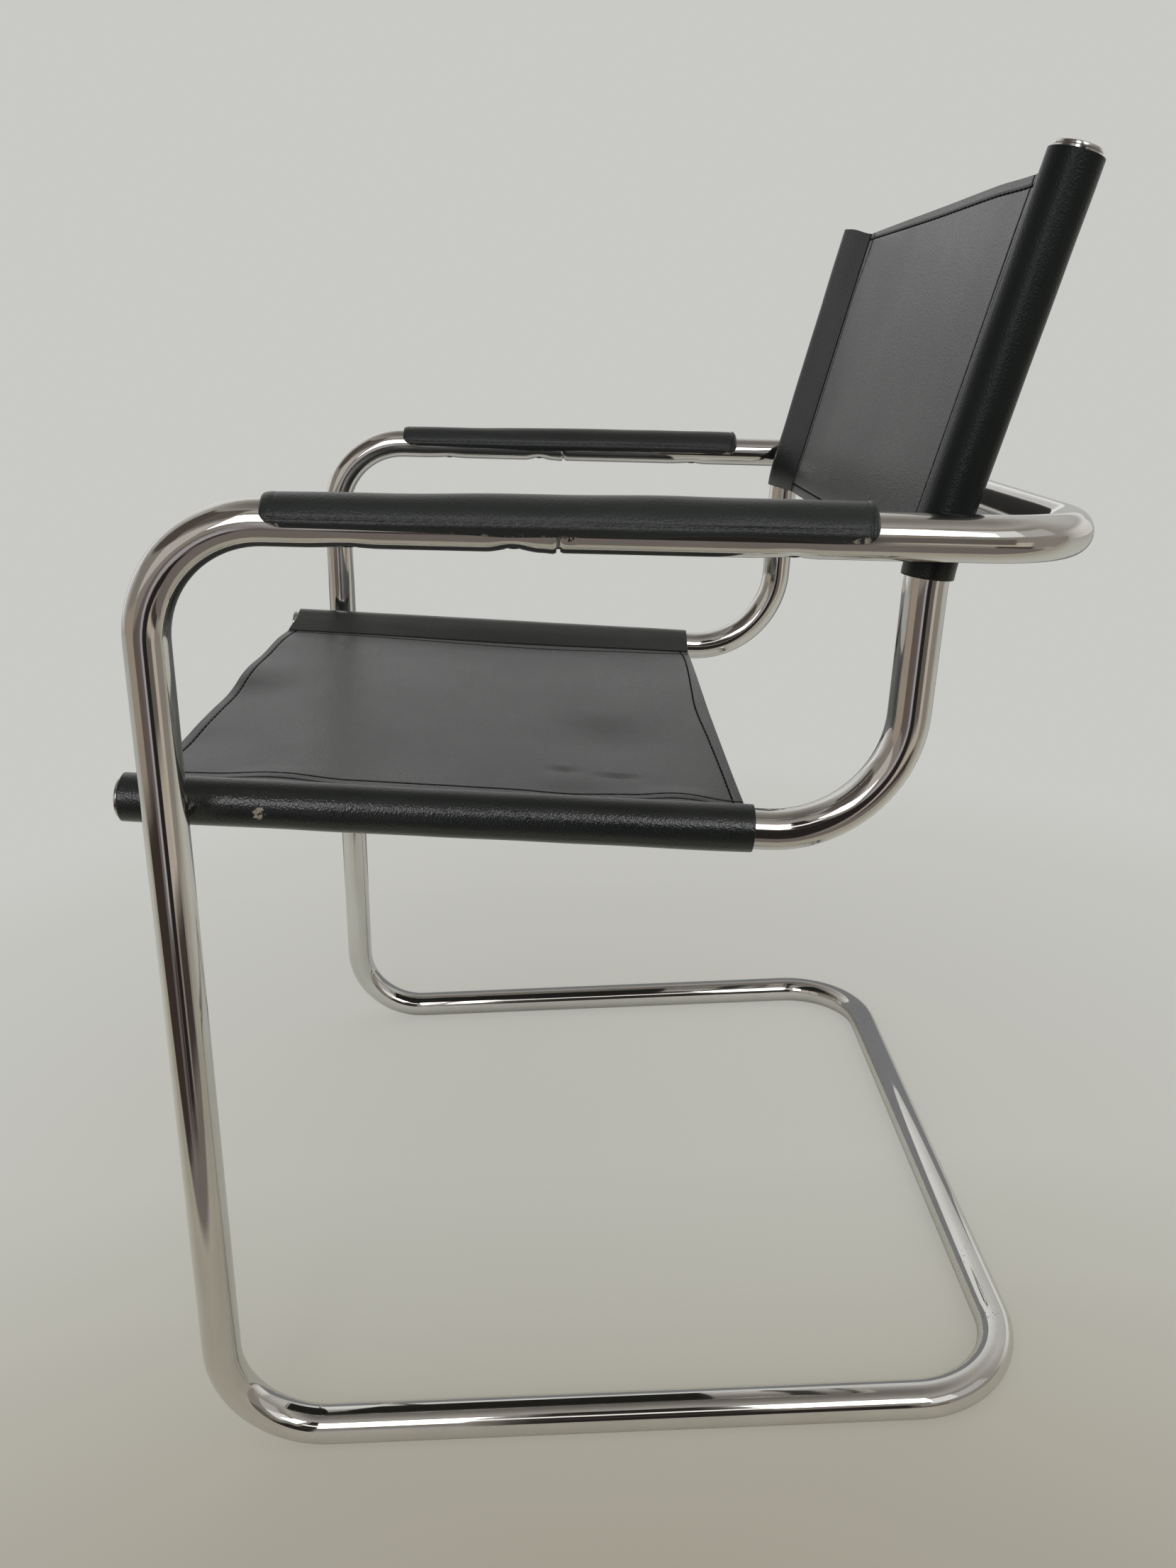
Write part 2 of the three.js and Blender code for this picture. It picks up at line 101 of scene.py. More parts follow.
def crossing(pointA, directionA, pointB, directionB):
    between = pointB - pointA
    share = between.cross(directionB).x / directionA.cross(directionB).x
    return pointA + directionA * share


frameX = chair["width"] / 2 - tube["radius"]
sideX = frameX - side["standOff"]
capReach = endCap["gap"] + endCap["disc"] + endCap["dome"]
legUp = inSidePlane(math.pi / 2 - base["legLean"])
armBack = inSidePlane(-arm["slope"])
armUp = inSidePlane(math.pi / 2 - arm["slope"])
seatBack = inSidePlane(-side["seatTilt"])
seatNormal = inSidePlane(math.pi / 2 - side["seatTilt"])
uprightUp = inSidePlane(math.pi / 2 - side["uprightLean"])
backUp = inSidePlane(math.pi / 2 - side["backLean"])
backNormal = inSidePlane(math.pi - side["backLean"])

footCorner = Vector((0, base["footSetback"] - chair["depth"] / 2, tube["radius"]))
armCornerRise = side["seatFrontHeight"] + arm["riseAboveSeat"] - tube["radius"]
armCorner = footCorner + legUp * (armCornerRise / legUp.z)
floorRear = Vector((0, chair["depth"] / 2 - tube["radius"], tube["radius"]))
frontArmEnd = armCorner + armBack * arm["frontLength"]
loopStart = frontArmEnd + armBack * arm["jointGap"]


def onArm(y):
    return armCorner + armBack * ((y - armCorner.y) / armBack.y)


loopCorner = onArm(floorRear.y - arm["loopInset"])
armCross = onArm(loopCorner.y - arm["loopBend"] - side["crossAheadOfBend"])
backTop = armCross + backUp * side["backAboveArm"]
knee = armCross - backUp * side["kneeBelowArm"]
seatFrontY = capReach * seatBack.y - chair["depth"] / 2
seatFront = Vector((0, seatFrontY, side["seatFrontHeight"]))
seatCorner = crossing(knee, uprightUp, seatFront, seatBack)
legCross = crossing(footCorner, legUp, seatFront, seatBack)
sides = (("Right", "right", 1), ("Left", "left", -1))        # in names, in nodes and the sign of X


# Helpers for meshes

def smoothShare(value):
    share = min(1, max(0, value))
    return share * share * (3 - 2 * share)


def bump(value):        # 1 in the middle, 0 from -1 and +1 outwards
    return math.cos(value * math.pi / 2) ** 2 if abs(value) < 1 else 0


def mixed(low, high, share):
    return low + (high - low) * share


def slopeAt(points, index):
    before, after = points[max(index - 1, 0)], points[min(index + 1, len(points) - 1)]
    return (after[1] - before[1]) / (after[0] - before[0])


def shares(count):
    return [index / count for index in range(count + 1)]


def stepped(first, last, size):        # places from first to last, at most size apart
    count = max(1, math.ceil((last - first) / size))
    return [mixed(first, last, share) for share in shares(count)]


def throughPoints(points, value):        # a smooth line through listed points
    index = 0
    while index < len(points) - 2 and value > points[index + 1][0]:
        index += 1
    (x0, y0), (x1, y1) = points[index], points[index + 1]
    width = x1 - x0
    share = min(1, max(0, (value - x0) / width))
    square, cube = share ** 2, share ** 3
    ends = y0 * (2 * cube - 3 * square + 1) + y1 * (3 * square - 2 * cube)
    leave, arrive = slopeAt(points, index) * width, slopeAt(points, index + 1) * width
    return ends + leave * (cube - 2 * square + share) + arrive * (cube - square)


def frameAt(place, xAxis, zAxis):
    yAxis = zAxis.cross(xAxis)
    turn = Matrix((xAxis, yAxis, zAxis)).transposed().to_4x4()
    return Matrix.Translation(place) @ turn


def edgesOf(geometry):
    return [item for item in geometry if isinstance(item, bmesh.types.BMEdge)]


def makeObject(name, bm, materials):
    mesh = bpy.data.meshes.new(name)
    bm.to_mesh(mesh)
    bm.free()
    for material in materials:
        mesh.materials.append(material)
    made = bpy.data.objects.new(name, mesh)
    bpy.context.scene.collection.objects.link(made)
    return made


def finishPiece(name, bm, materials, node=None, sharpDegrees=40):        # node is the solid it replaces
    for face in bm.faces:
        face.smooth = True
    piece = makeObject(name, bm, materials)
    piece.data.set_sharp_from_angle(angle=math.radians(sharpDegrees))
    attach(piece, "root")
    if node:
        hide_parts(node)
    return piece


def turned(profile, steps, place, out):        # a closed shape from half of its outline, spun about its axis
    bm = bmesh.new()
    verts = [bm.verts.new((x, 0, z)) for x, z in profile]
    edges = [bm.edges.new(pair) for pair in zip(verts, verts[1:])]
    bmesh.ops.spin(
        bm, geom=verts + edges, cent=(0, 0, 0), axis=(0, 0, 1), dvec=(0, 0, 0),
        angle=2 * math.pi, steps=steps, use_merge=True,
    )
    bmesh.ops.remove_doubles(bm, verts=bm.verts, dist=0.00001)
    bmesh.ops.recalc_face_normals(bm, faces=bm.faces)
    bm.transform(frameAt(place, Vector((1, 0, 0)), out))
    return bm


def turnTowards(bm, face, outward):
    face.normal_update()
    if face.normal.dot(outward) < 0:
        bmesh.ops.reverse_faces(bm, faces=bm.faces[:])


# Materials

def newMaterial(name):
    material = bpy.data.materials.new(name)
    material.use_nodes = True
    return material, material.node_tree, material.node_tree.nodes["Principled BSDF"]


def wire(tree, node, inputs):        # an input takes a number, a colour or another node's output
    for key, value in inputs.items():
        socket = node.inputs[key]
        if isinstance(value, bpy.types.NodeSocket):
            tree.links.new(value, socket)
        else:
            socket.default_value = (*value, 1) if socket.type == "RGBA" else value
    return node


def addNode(tree, kind, settings=None, **inputs):
    made = tree.nodes.new(f"ShaderNode{kind}")
    for key, value in (settings or {}).items():
        setattr(made, key, value)
    return wire(tree, made, inputs)


def objectPlace(tree):
    return addNode(tree, "TexCoord").outputs["Object"]


def splitAxes(tree, vector):
    return addNode(tree, "SeparateXYZ", Vector=vector).outputs


def addAttribute(tree, name):
    return addNode(tree, "Attribute", {"attribute_name": name}).outputs["Fac"]


def addNoise(tree, vector, scale, detail=3, roughness=0.5):
    made = addNode(tree, "TexNoise", Vector=vector, Scale=scale, Detail=detail, Roughness=roughness)
    return made.outputs["Fac"]


def addRamp(tree, factor, stops):
    stops = list(stops)
    ramp = addNode(tree, "ValToRGB", Fac=factor)
    elements = ramp.color_ramp.elements
    while len(elements) < len(stops):
        elements.new(0.5)
    for element, (position, colour) in zip(elements, stops):
        element.position = position
        element.color = (*colour, 1)
    return ramp.outputs["Color"]


def grey(level):
    return (level, level, level)


def addRange(tree, value, fromLow, fromHigh, toLow=0, toHigh=1):
    ends = {"From Min": fromLow, "From Max": fromHigh, "To Min": toLow, "To Max": toHigh}
    return addNode(tree, "MapRange", Value=value, **ends).outputs["Result"]


def addBumps(tree, layers):        # each layer is a height, its strength and its depth
    normal = None
    for height, strength, depth in layers:
        made = addNode(tree, "Bump", Height=height, Strength=strength, Distance=depth)
        if normal is not None:
            wire(tree, made, {"Normal": normal})
        normal = made.outputs["Normal"]
    return normal


def addMath(tree, operation, first, second=0):
    made = addNode(tree, "Math", {"operation": operation})
    return wire(tree, made, {0: first, 1: second}).outputs["Value"]


def addProduct(tree, first, *others):
    for other in others:
        first = addMath(tree, "MULTIPLY", first, other)
    return first


def addMix(tree, factor, first, second, blend="MIX"):
    made = addNode(tree, "Mix", {"data_type": "RGBA", "blend_type": blend}, Factor=factor, A=first, B=second)
    return made.outputs["Result"]


chromeLook = {
    "colour": (0.80, 0.79, 0.77), "smudgeColour": (0.70, 0.685, 0.66), "pitColour": (0.05, 0.035, 0.025),
    "smudgeScale": 14, "smudges": (0.35, 0.75), "dulling": (0.35, 0.8), "roughness": (0.035, 0.11),
    "waveScale": 45, "waveStrength": 0.35, "waveDepth": 0.00012,
    "pitScale": 420, "pitSize": 0.16, "pitPatchScale": 30, "pitPatches": (0.56, 0.64), "pitRoughness": 0.6,
    "pitsBehind": (0.19, 0.23), "pitsBelow": (0.03, 0.06),
}


def chromeMaterial(name, pitted=False):
    look = chromeLook
    material, tree, shader = newMaterial(name)
    vector = objectPlace(tree)
    smudges = addNoise(tree, vector, look["smudgeScale"], detail=6, roughness=0.62)
    tint = addRamp(tree, smudges, zip(look["smudges"], (look["colour"], look["smudgeColour"])))
    roughness = addRange(tree, smudges, *look["dulling"], *look["roughness"])
    if pitted:        # at the rear of the floor frame
        pits = addNode(tree, "TexVoronoi", Vector=vector, Scale=look["pitScale"]).outputs["Distance"]
        split = splitAxes(tree, vector)
        wear = addProduct(
            tree, addMath(tree, "LESS_THAN", pits, look["pitSize"]),
            addRange(tree, addNoise(tree, vector, look["pitPatchScale"]), *look["pitPatches"]),
            addRange(tree, split["Y"], *look["pitsBehind"]),
            addRange(tree, split["Z"], *look["pitsBelow"], 1, 0),
        )
        tint = addMix(tree, wear, tint, look["pitColour"])
        roughness = addMath(tree, "MAXIMUM", roughness, addProduct(tree, wear, look["pitRoughness"]))
    waves = addNoise(tree, vector, look["waveScale"], detail=1, roughness=0.4)
    normal = addBumps(tree, [(waves, look["waveStrength"], look["waveDepth"])])
    wire(tree, shader, {"Base Color": tint, "Roughness": roughness, "Normal": normal, "Metallic": 1})
    return material


leatherLook = {
    "dark": (0.005, 0.007, 0.0068), "light": (0.0105, 0.0135, 0.013), "cloudScale": 9, "clouds": (0.3, 0.75),
    "roughness": (0.27, 0.36), "grainScale": 950, "grainStrength": 0.75, "grainDepth": 0.00024,
    "poreScale": 2400, "poreStrength": 0.4, "poreDepth": 0.00005, "creaseScale": 38, "creaseStrength": 0.3,
    "creaseDepth": 0.0002, "shine": 0.5, "sewnShine": 0.26, "sewn": (0.0025, 0.0025, 0.0025),
    "worn": (0.34, 0.30, 0.24), "wornMost": 0.6, "wornFully": 0.2, "wornRoughness": 0.8,
    "wornPatchScale": 300, "wornPatches": (0.59, 0.68), "wornPatchGain": 0.25,
    "scuffPlace": (0.2566, -0.2002, 0.4481), "scuffReach": (0.00192, 0.0048), "scuffMost": 0.8,
    "upperFrom": (0.56, 0.58), "seatSleeveFrom": (0.222, 0.230), "seatSleeveSmoothness": 0.12,
    "seatSleeveShine": 0.15, "backSleeveFrom": (0.190, 0.197), "padFrom": (0.257, 0.262),
    "padRoughness": 0.06,
}


def leatherWear(tree, vector):        # worn places marked on the mesh, and one scuff on the seat's sleeve
    look = leatherLook
    away = addNode(tree, "VectorMath", {"operation": "DISTANCE"})
    wire(tree, away, {0: vector, 1: look["scuffPlace"]})
    scuff = addRange(tree, away.outputs["Value"], *look["scuffReach"], look["scuffMost"], 0)
    worn = addMath(tree, "MAXIMUM", addAttribute(tree, "wear"), scuff)
    patches = addNoise(tree, vector, look["wornPatchScale"], detail=4, roughness=0.7)
    patches = addMath(tree, "ADD", patches, addProduct(tree, worn, look["wornPatchGain"]))
    worn = addRange(tree, worn, 0, look["wornFully"], 0, look["wornMost"])
    return addProduct(tree, worn, addRange(tree, patches, *look["wornPatches"]))


def leatherMaterial(name, lightness, sheen, dullness):
    look = leatherLook
    material, tree, shader = newMaterial(name)
    vector = objectPlace(tree)
    clouds = addNoise(tree, vector, look["cloudScale"], detail=4, roughness=0.55)
    tones = [[channel * lightness for channel in look[tone]] for tone in ("dark", "light")]
    colour = addRamp(tree, clouds, zip(look["clouds"], tones))
    roughness = addRange(tree, clouds, *look["clouds"], *look["roughness"])
    split = splitAxes(tree, vector)        # the seat's sleeves are polished, the pads rubbed dull
    outward = addMath(tree, "ABSOLUTE", split["X"])
    lower = addRange(tree, split["Z"], *look["upperFrom"], 1, 0)
    polish = addProduct(tree, addRange(tree, outward, *look["seatSleeveFrom"]), lower)
    roughness = addMath(tree, "SUBTRACT", roughness, addProduct(tree, polish, look["seatSleeveSmoothness"]))
    rubbed = addRange(tree, outward, *look["padFrom"], 0, look["padRoughness"])
    roughness = addMath(tree, "ADD", roughness, rubbed)
    grain = addNode(tree, "TexVoronoi", {"feature": "SMOOTH_F1"}, Vector=vector, Scale=look["grainScale"])
    creases = addNoise(tree, vector, look["creaseScale"], detail=4, roughness=0.6)
    pores = addNoise(tree, vector, look["poreScale"], detail=2)
    normal = addBumps(tree, [
        (creases, look["creaseStrength"], look["creaseDepth"]),
        (grain.outputs["Distance"], look["grainStrength"], look["grainDepth"]),
        (pores, look["poreStrength"], look["poreDepth"]),
    ])
    wear = leatherWear(tree, vector)
    colour = addMix(tree, wear, colour, look["worn"])
    roughness = addMath(tree, "MAXIMUM", roughness, addProduct(tree, wear, look["wornRoughness"]))
    sewn = addAttribute(tree, "sewn")
    colour = addMix(tree, sewn, colour, look["sewn"])
    dull = addRange(tree, outward, *look["backSleeveFrom"], 0, dullness)        # on the back alone
    dull = addProduct(tree, dull, addMath(tree, "SUBTRACT", 1, lower))
    shine = addRange(tree, sewn, 0, 1, look["shine"], look["sewnShine"])
    shine = addProduct(tree, shine, addMath(tree, "SUBTRACT", 1, dull))
    shine = addMath(tree, "ADD", shine, addProduct(tree, polish, look["seatSleeveShine"]))
    wire(tree, shader, {"Base Color": colour, "Roughness": roughness, "Normal": normal,
                        "Specular IOR Level": shine, "IOR": 1.5, "Sheen Weight": sheen})
    return material


plainLook = {"clouds": (0.3, 0.7), "bumpStrength": 0.3}


def plainMaterial(name, low, high, roughness, metallic, scale, depth, specular=0.5):
    look = plainLook
    material, tree, shader = newMaterial(name)
    clouds = addNoise(tree, objectPlace(tree), scale, detail=4, roughness=0.6)
    wire(tree, shader, {"Base Color": addRamp(tree, clouds, zip(look["clouds"], (low, high))),
                        "Roughness": addRange(tree, clouds, *look["clouds"], *roughness),
                        "Normal": addBumps(tree, [(clouds, look["bumpStrength"], depth)]),
                        "Metallic": metallic, "Specular IOR Level": specular})
    return material


chrome = chromeMaterial("polishedChrome")
pittedChrome = chromeMaterial("polishedChromeWithRearPits", pitted=True)
capChrome = plainMaterial("rubbedChrome", grey(0.62), grey(0.78), (0.1, 0.2), 1, 60, 0.0001)
# One black leather for the slings and the pads: the pads' copy has a larger lightness, painted light on the
# pads.
leather = leatherMaterial("blackLeather", lightness=0.8, sheen=0, dullness=0.65)
padLeather = leatherMaterial("blackLeatherOfPadsPaintedLighter", lightness=1.05, sheen=0.10, dullness=0)
fleshSide = plainMaterial("leatherFleshSide", grey(0.012), grey(0.03), (0.8, 0.95), 0, 500, 0.0004)
rawEdge = ((0.01, 0.01, 0.009), (0.05, 0.042, 0.033))
cutEdge = plainMaterial("leatherCutEdge", *rawEdge, (0.5, 0.7), 0, 300, 0.0002)
thread = plainMaterial("blackThread", grey(0.0015), grey(0.004), (0.75, 0.85), 0, 2500, 0.00005, specular=0.1)
padThread = plainMaterial("paleBlackThread", grey(0.022), grey(0.042), (0.5, 0.6), 0, 1500, 0.00005)
darkPlastic = plainMaterial("darkPlastic", grey(0.008), grey(0.014), (0.45, 0.6), 0, 200, 0.0001)
zincSteel = plainMaterial("zincSteel", grey(0.30), grey(0.42), (0.3, 0.45), 1, 120, 0.0001)
print("materials made")

# CAD nodes that keep their shape get their finish here

nodeFinishes = {
    "chrome_tube": chrome, "cap_steel": capChrome, "zinc_steel": zincSteel,
    "black_leather": leather, "dark_plastic": darkPlastic,
}
for row in frame["record"]["subparts"]:
    nodeMesh = frame["nodes"][row["node"]].data
    nodeMesh.materials.clear()
    nodeMesh.materials.append(nodeFinishes[row["material_slot"]])


# Bent tubes: a ring is run along each straight and spun round each bend

def runStraight(bm, ring, heading, length, step):
    count = max(1, math.ceil(length / step))
    for _ in range(count):
        made = bmesh.ops.extrude_edge_only(bm, edges=ring)["geom"]
        ring = [edge for edge in edgesOf(made) if edge.is_boundary]
        verts = {vert for edge in ring for vert in edge.verts}
        bmesh.ops.translate(bm, verts=list(verts), vec=heading * (length / count))
    return ring


def runBend(bm, ring, heading, onward, start, bend):
    axis = heading.cross(onward).normalized()
    turn = heading.angle(onward)
    made = bmesh.ops.spin(
        bm, geom=ring, cent=start + axis.cross(heading) * bend, axis=axis, dvec=(0, 0, 0),
        angle=turn, steps=math.ceil(turn * bend / tube["bendStep"]), use_merge=False,
    )
    return edgesOf(made["geom_last"])


def mirroredTube(line, bends, stepSizes):        # along the right side and back along the left one
    corners = [atX(point, frameX) for point in line] + [atX(point, -frameX) for point in reversed(line)]
    return bentTube(corners, bends + bends[::-1], stepSizes)


def bentTube(corners, bends, stepSizes):
    bm = bmesh.new()
    heading = (corners[1] - corners[0]).normalized()
    bmesh.ops.create_circle(
        bm, segments=tube["sides"], radius=tube["radius"], cap_ends=False,
        matrix=frameAt(corners[0], Vector((1, 0, 0)), heading),
    )
    ring = bm.edges[:]
    place = corners[0]
    for corner, after, bend, step in zip(corners[1:], corners[2:], bends, stepSizes):
        onward = (after - corner).normalized()
        setback = bend * math.tan(heading.angle(onward) / 2)
        start = corner - heading * setback
        ring = runStraight(bm, ring, heading, (start - place).length, step)
        ring = runBend(bm, ring, heading, onward, start, bend)
        place = corner + onward * setback
        heading = onward
    runStraight(bm, ring, heading, (corners[-1] - place).length, stepSizes[-1])
    bmesh.ops.recalc_face_normals(bm, faces=bm.faces)
    return bm


def finishTube(name, bm, material, node):
    bmesh.ops.solidify(bm, geom=bm.faces[:], thickness=tube["wall"])
    finishPiece(name, bm, (material,), node)


# Arms: pressed hollows and pockets at the pad screws, and the joint of the two tubes

armForm = {        # the hollows' values go from the front screw to the rear one
    "fineStep": 0.0016, "hollowDepths": (0.0006, 0.0018, 0.0008), "hollowFronts": (0.024, 0.015, 0.024),
    "hollowRears": (0.017, 0.014, 0.015), "hollowFrom": 0.3, "pocketRadius": 0.0053,
    "pocketSlope": 0.0010, "pocketDepth": 0.0009, "flare": 0.0005, "flareLength": 0.008,
    "lipLength": 0.0011, "lipDrop": 0.0007, "shapedBelow": 0.09, "shapedAhead": 0.01, "nearAxis": 1.05,
    "notchBehindJoint": 0.0048, "notchAngle": math.radians(-11), "notchHalfLength": 0.0028,
    "notchHalfHeight": 0.0042, "notchDepth": 0.0012,
}
padPlan = {"endAheadOfBack": 0.0448, "screwEndInset": 0.044, "screwAheadOfJoint": 0.022}
padStart = arm["frontBend"] * math.tan(legUp.angle(armBack) / 2)
padEnd = (armCross - armCorner).length - padPlan["endAheadOfBack"]
screwDistances = (
    padStart + padPlan["screwEndInset"],
    arm["frontLength"] - padPlan["screwAheadOfJoint"],
    padEnd - padPlan["screwEndInset"],
)


def hollowDepth(distance):
    plan = zip(screwDistances, armForm["hollowDepths"], armForm["hollowFronts"], armForm["hollowRears"])
    return sum(
        depth * bump((distance - middle) / (front if distance < middle else rear))
        for middle, depth, front, rear in plan
    )


def pocketDepth(distance, sideways):        # the round recess that takes a screw head
    away = min(math.hypot(distance - middle, sideways) for middle in screwDistances)
    return armForm["pocketDepth"] * smoothShare((armForm["pocketRadius"] - away) / armForm["pocketSlope"])


def shapeArm(bm, endDistance, endSign):        # endSign says on which side of the joint the tube lies
    form = armForm
    for vert in bm.verts:
        centre = atX(armCorner, math.copysign(frameX, vert.co.x))
        distance = (vert.co - centre).dot(armBack)
        if vert.co.z < armCorner.z - form["shapedBelow"] or distance < padStart - form["shapedAhead"]:
            continue
        centre = centre + armBack * distance
        out = vert.co - centre
        if out.length > tube["radius"] * form["nearAxis"]:        # past the bend behind the back
            continue
        fromEnd = (endDistance - distance) * endSign
        if endSign > 0:
            out *= 1 + form["flare"] / tube["radius"] * bump(fromEnd / form["flareLength"])
        if fromEnd < form["lipLength"]:
            out *= 1 - form["lipDrop"] / tube["radius"]
        down = -out.dot(armUp) / tube["radius"]
        rise = hollowDepth(distance) * smoothShare((down - form["hollowFrom"]) / (1 - form["hollowFrom"]))
        if down > form["hollowFrom"]:
            rise += pocketDepth(distance, out.x)
        if endSign < 0 and out.x * centre.x > 0:        # the small dent faces outwards
            angle = math.asin(max(-1, min(1, -down)))
            across = (angle - form["notchAngle"]) * tube["radius"] / form["notchHalfHeight"]
            lengthwise = (fromEnd - form["notchBehindJoint"]) / form["notchHalfLength"]
            out *= 1 - form["notchDepth"] / tube["radius"] * bump(across) * bump(lengthwise)
        vert.co = centre + out + armUp * rise


def makeFrontFrame():
    fine = armForm["fineStep"]
    bends = [arm["frontBend"], base["footBend"], base["rearBend"]]
    line = (frontArmEnd, armCorner, footCorner, floorRear)
    bm = mirroredTube(line, bends, [fine] + [tube["step"]] * 5 + [fine])
    shapeArm(bm, arm["frontLength"], 1)
    finishTube("frontFrameTube", bm, pittedChrome, "front_frame_tube")


def makeRearLoop():
    fine = armForm["fineStep"]
    bm = mirroredTube((loopStart, loopCorner), [arm["loopBend"]], [fine, tube["step"], fine])
    shapeArm(bm, arm["frontLength"] + arm["jointGap"], -1)
    finishTube("rearArmLoop", bm, chrome, "rear_arm_loop")


def makeSideTube(word, node, sign):
    corners = [atX(point, sign * sideX) for point in (backTop, knee, seatCorner, seatFront)]
    bm = bentTube(corners, [side["kneeBend"], side["seatBend"]], [tube["step"]] * 3)
    finishTube(f"sideTube{word}", bm, chrome, f"side_tube_{node}")


makeFrontFrame()
makeRearLoop()
for sideOf in sides:
    makeSideTube(*sideOf)
print("tubes bent")

# End caps: a plug and a domed disc, spun about the tube's axis

capForm = {
    "plugLength": 0.012, "plugClearance": 0.0003, "steps": 48, "edgeRound": 0.0007, "roundSteps": 4,
    "domeSteps": 6, "domeInset": 0.0016,
}


def capProfile():
    form = capForm
    radius, gap, edge = tube["radius"], endCap["gap"], form["edgeRound"]
    plug = radius - tube["wall"] - form["plugClearance"]
    points = [(0, -form["plugLength"]), (plug, -form["plugLength"]), (plug, gap), (radius - edge / 2, gap),
              (radius, gap + edge / 2)]
    shoulder = gap + endCap["disc"]
    for angle in (math.pi / 2 * share for share in shares(form["roundSteps"])):
        points.append((radius - edge * (1 - math.cos(angle)), shoulder + edge * math.sin(angle)))
    for share in reversed(shares(form["domeSteps"])):
        rise = (endCap["dome"] - edge) * (1 - share ** 2)
        points.append(((radius - form["domeInset"]) * share, shoulder + edge + rise))
    return points


def makeEndCap(name, node, place, out):
    finishPiece(name, turned(capProfile(), capForm["steps"], place, out), (capChrome,), node)


for word, node, sign in sides:
    makeEndCap(f"seatEndCap{word}", f"seat_end_cap_{node}", atX(seatFront, sign * sideX), -seatBack)
    makeEndCap(f"backEndCap{word}", f"back_end_cap_{node}", atX(backTop, sign * sideX), backUp)
print("end caps made")

# Spacers between the side tubes and the frame, with ends hollowed to fit the tubes

spacerForm = {"radius": 0.008, "bore": 0.0033, "sides": 40}


def makeSpacer(name, node, cross, sideLine, frameLine, sign):
    form = spacerForm
    bm = bmesh.new()
    bmesh.ops.create_circle(
        bm, segments=form["sides"], radius=form["radius"], cap_ends=False,
        matrix=frameAt(atX(cross, sign * sideX), Vector((0, 1, 0)), Vector((sign, 0, 0))),
    )
    inner = bm.verts[:]
    bmesh.ops.extrude_edge_only(bm, edges=bm.edges[:])
    outer = [vert for vert in bm.verts if vert not in inner]
    for verts, centreX, line, facing in ((inner, sideX, sideLine, 1), (outer, frameX, frameLine, -1)):
        for vert in verts:
            offset = vert.co - atX(cross, vert.co.x)
            away = (offset - line * offset.dot(line)).length
            reach = math.sqrt(tube["radius"] ** 2 - away ** 2)
            vert.co.x = sign * (centreX + facing * reach)
    bmesh.ops.recalc_face_normals(bm, faces=bm.faces)
    bmesh.ops.solidify(bm, geom=bm.faces[:], thickness=form["radius"] - form["bore"])
    finishPiece(name, bm, (chrome,), node)


for word, node, sign in sides:
    makeSpacer(f"seatSpacer{word}", f"seat_spacer_{node}", legCross, seatBack, legUp, sign)
    makeSpacer(f"backSpacer{word}", f"back_spacer_{node}", armCross, backUp, armBack, sign)
print("spacers made")

# Slings: one leather sheet each, sewn into a tunnel round the side tube at each side

leatherForm = {
    "thickness": 0.0018, "ease": 0.0003, "flap": 0.008, "layerGap": 0.0001, "seamWidth": 0.0014,
    "seamDepth": 0.0009, "liftFade": 1.2, "tunnelReach": 0.03, "wrinkleScale": (30, 24, 30), "probe": 0.0006,
}
slingMesh = {        # the grid is fine along the seams, the hems and the free edges
    "seamBand": (0.0055, 0.0025), "bandGaps": (0.007, 0.007), "sheetStep": 0.005, "seamStep": 0.0007,
    "slopeStep": 0.004, "roundSteps": (0.0023, 0.006, 0.004), "rimMarks": (0, 0.0006, 0.0015),
    "hemBand": (0.0026, 0.0122), "hemStep": 0.0008, "lengthFrom": 0.016, "lengthStep": 0.004,
}
seamRows = ("innerRow", "outerRow")
sheetEdges = ("firstEdge", "lastEdge")


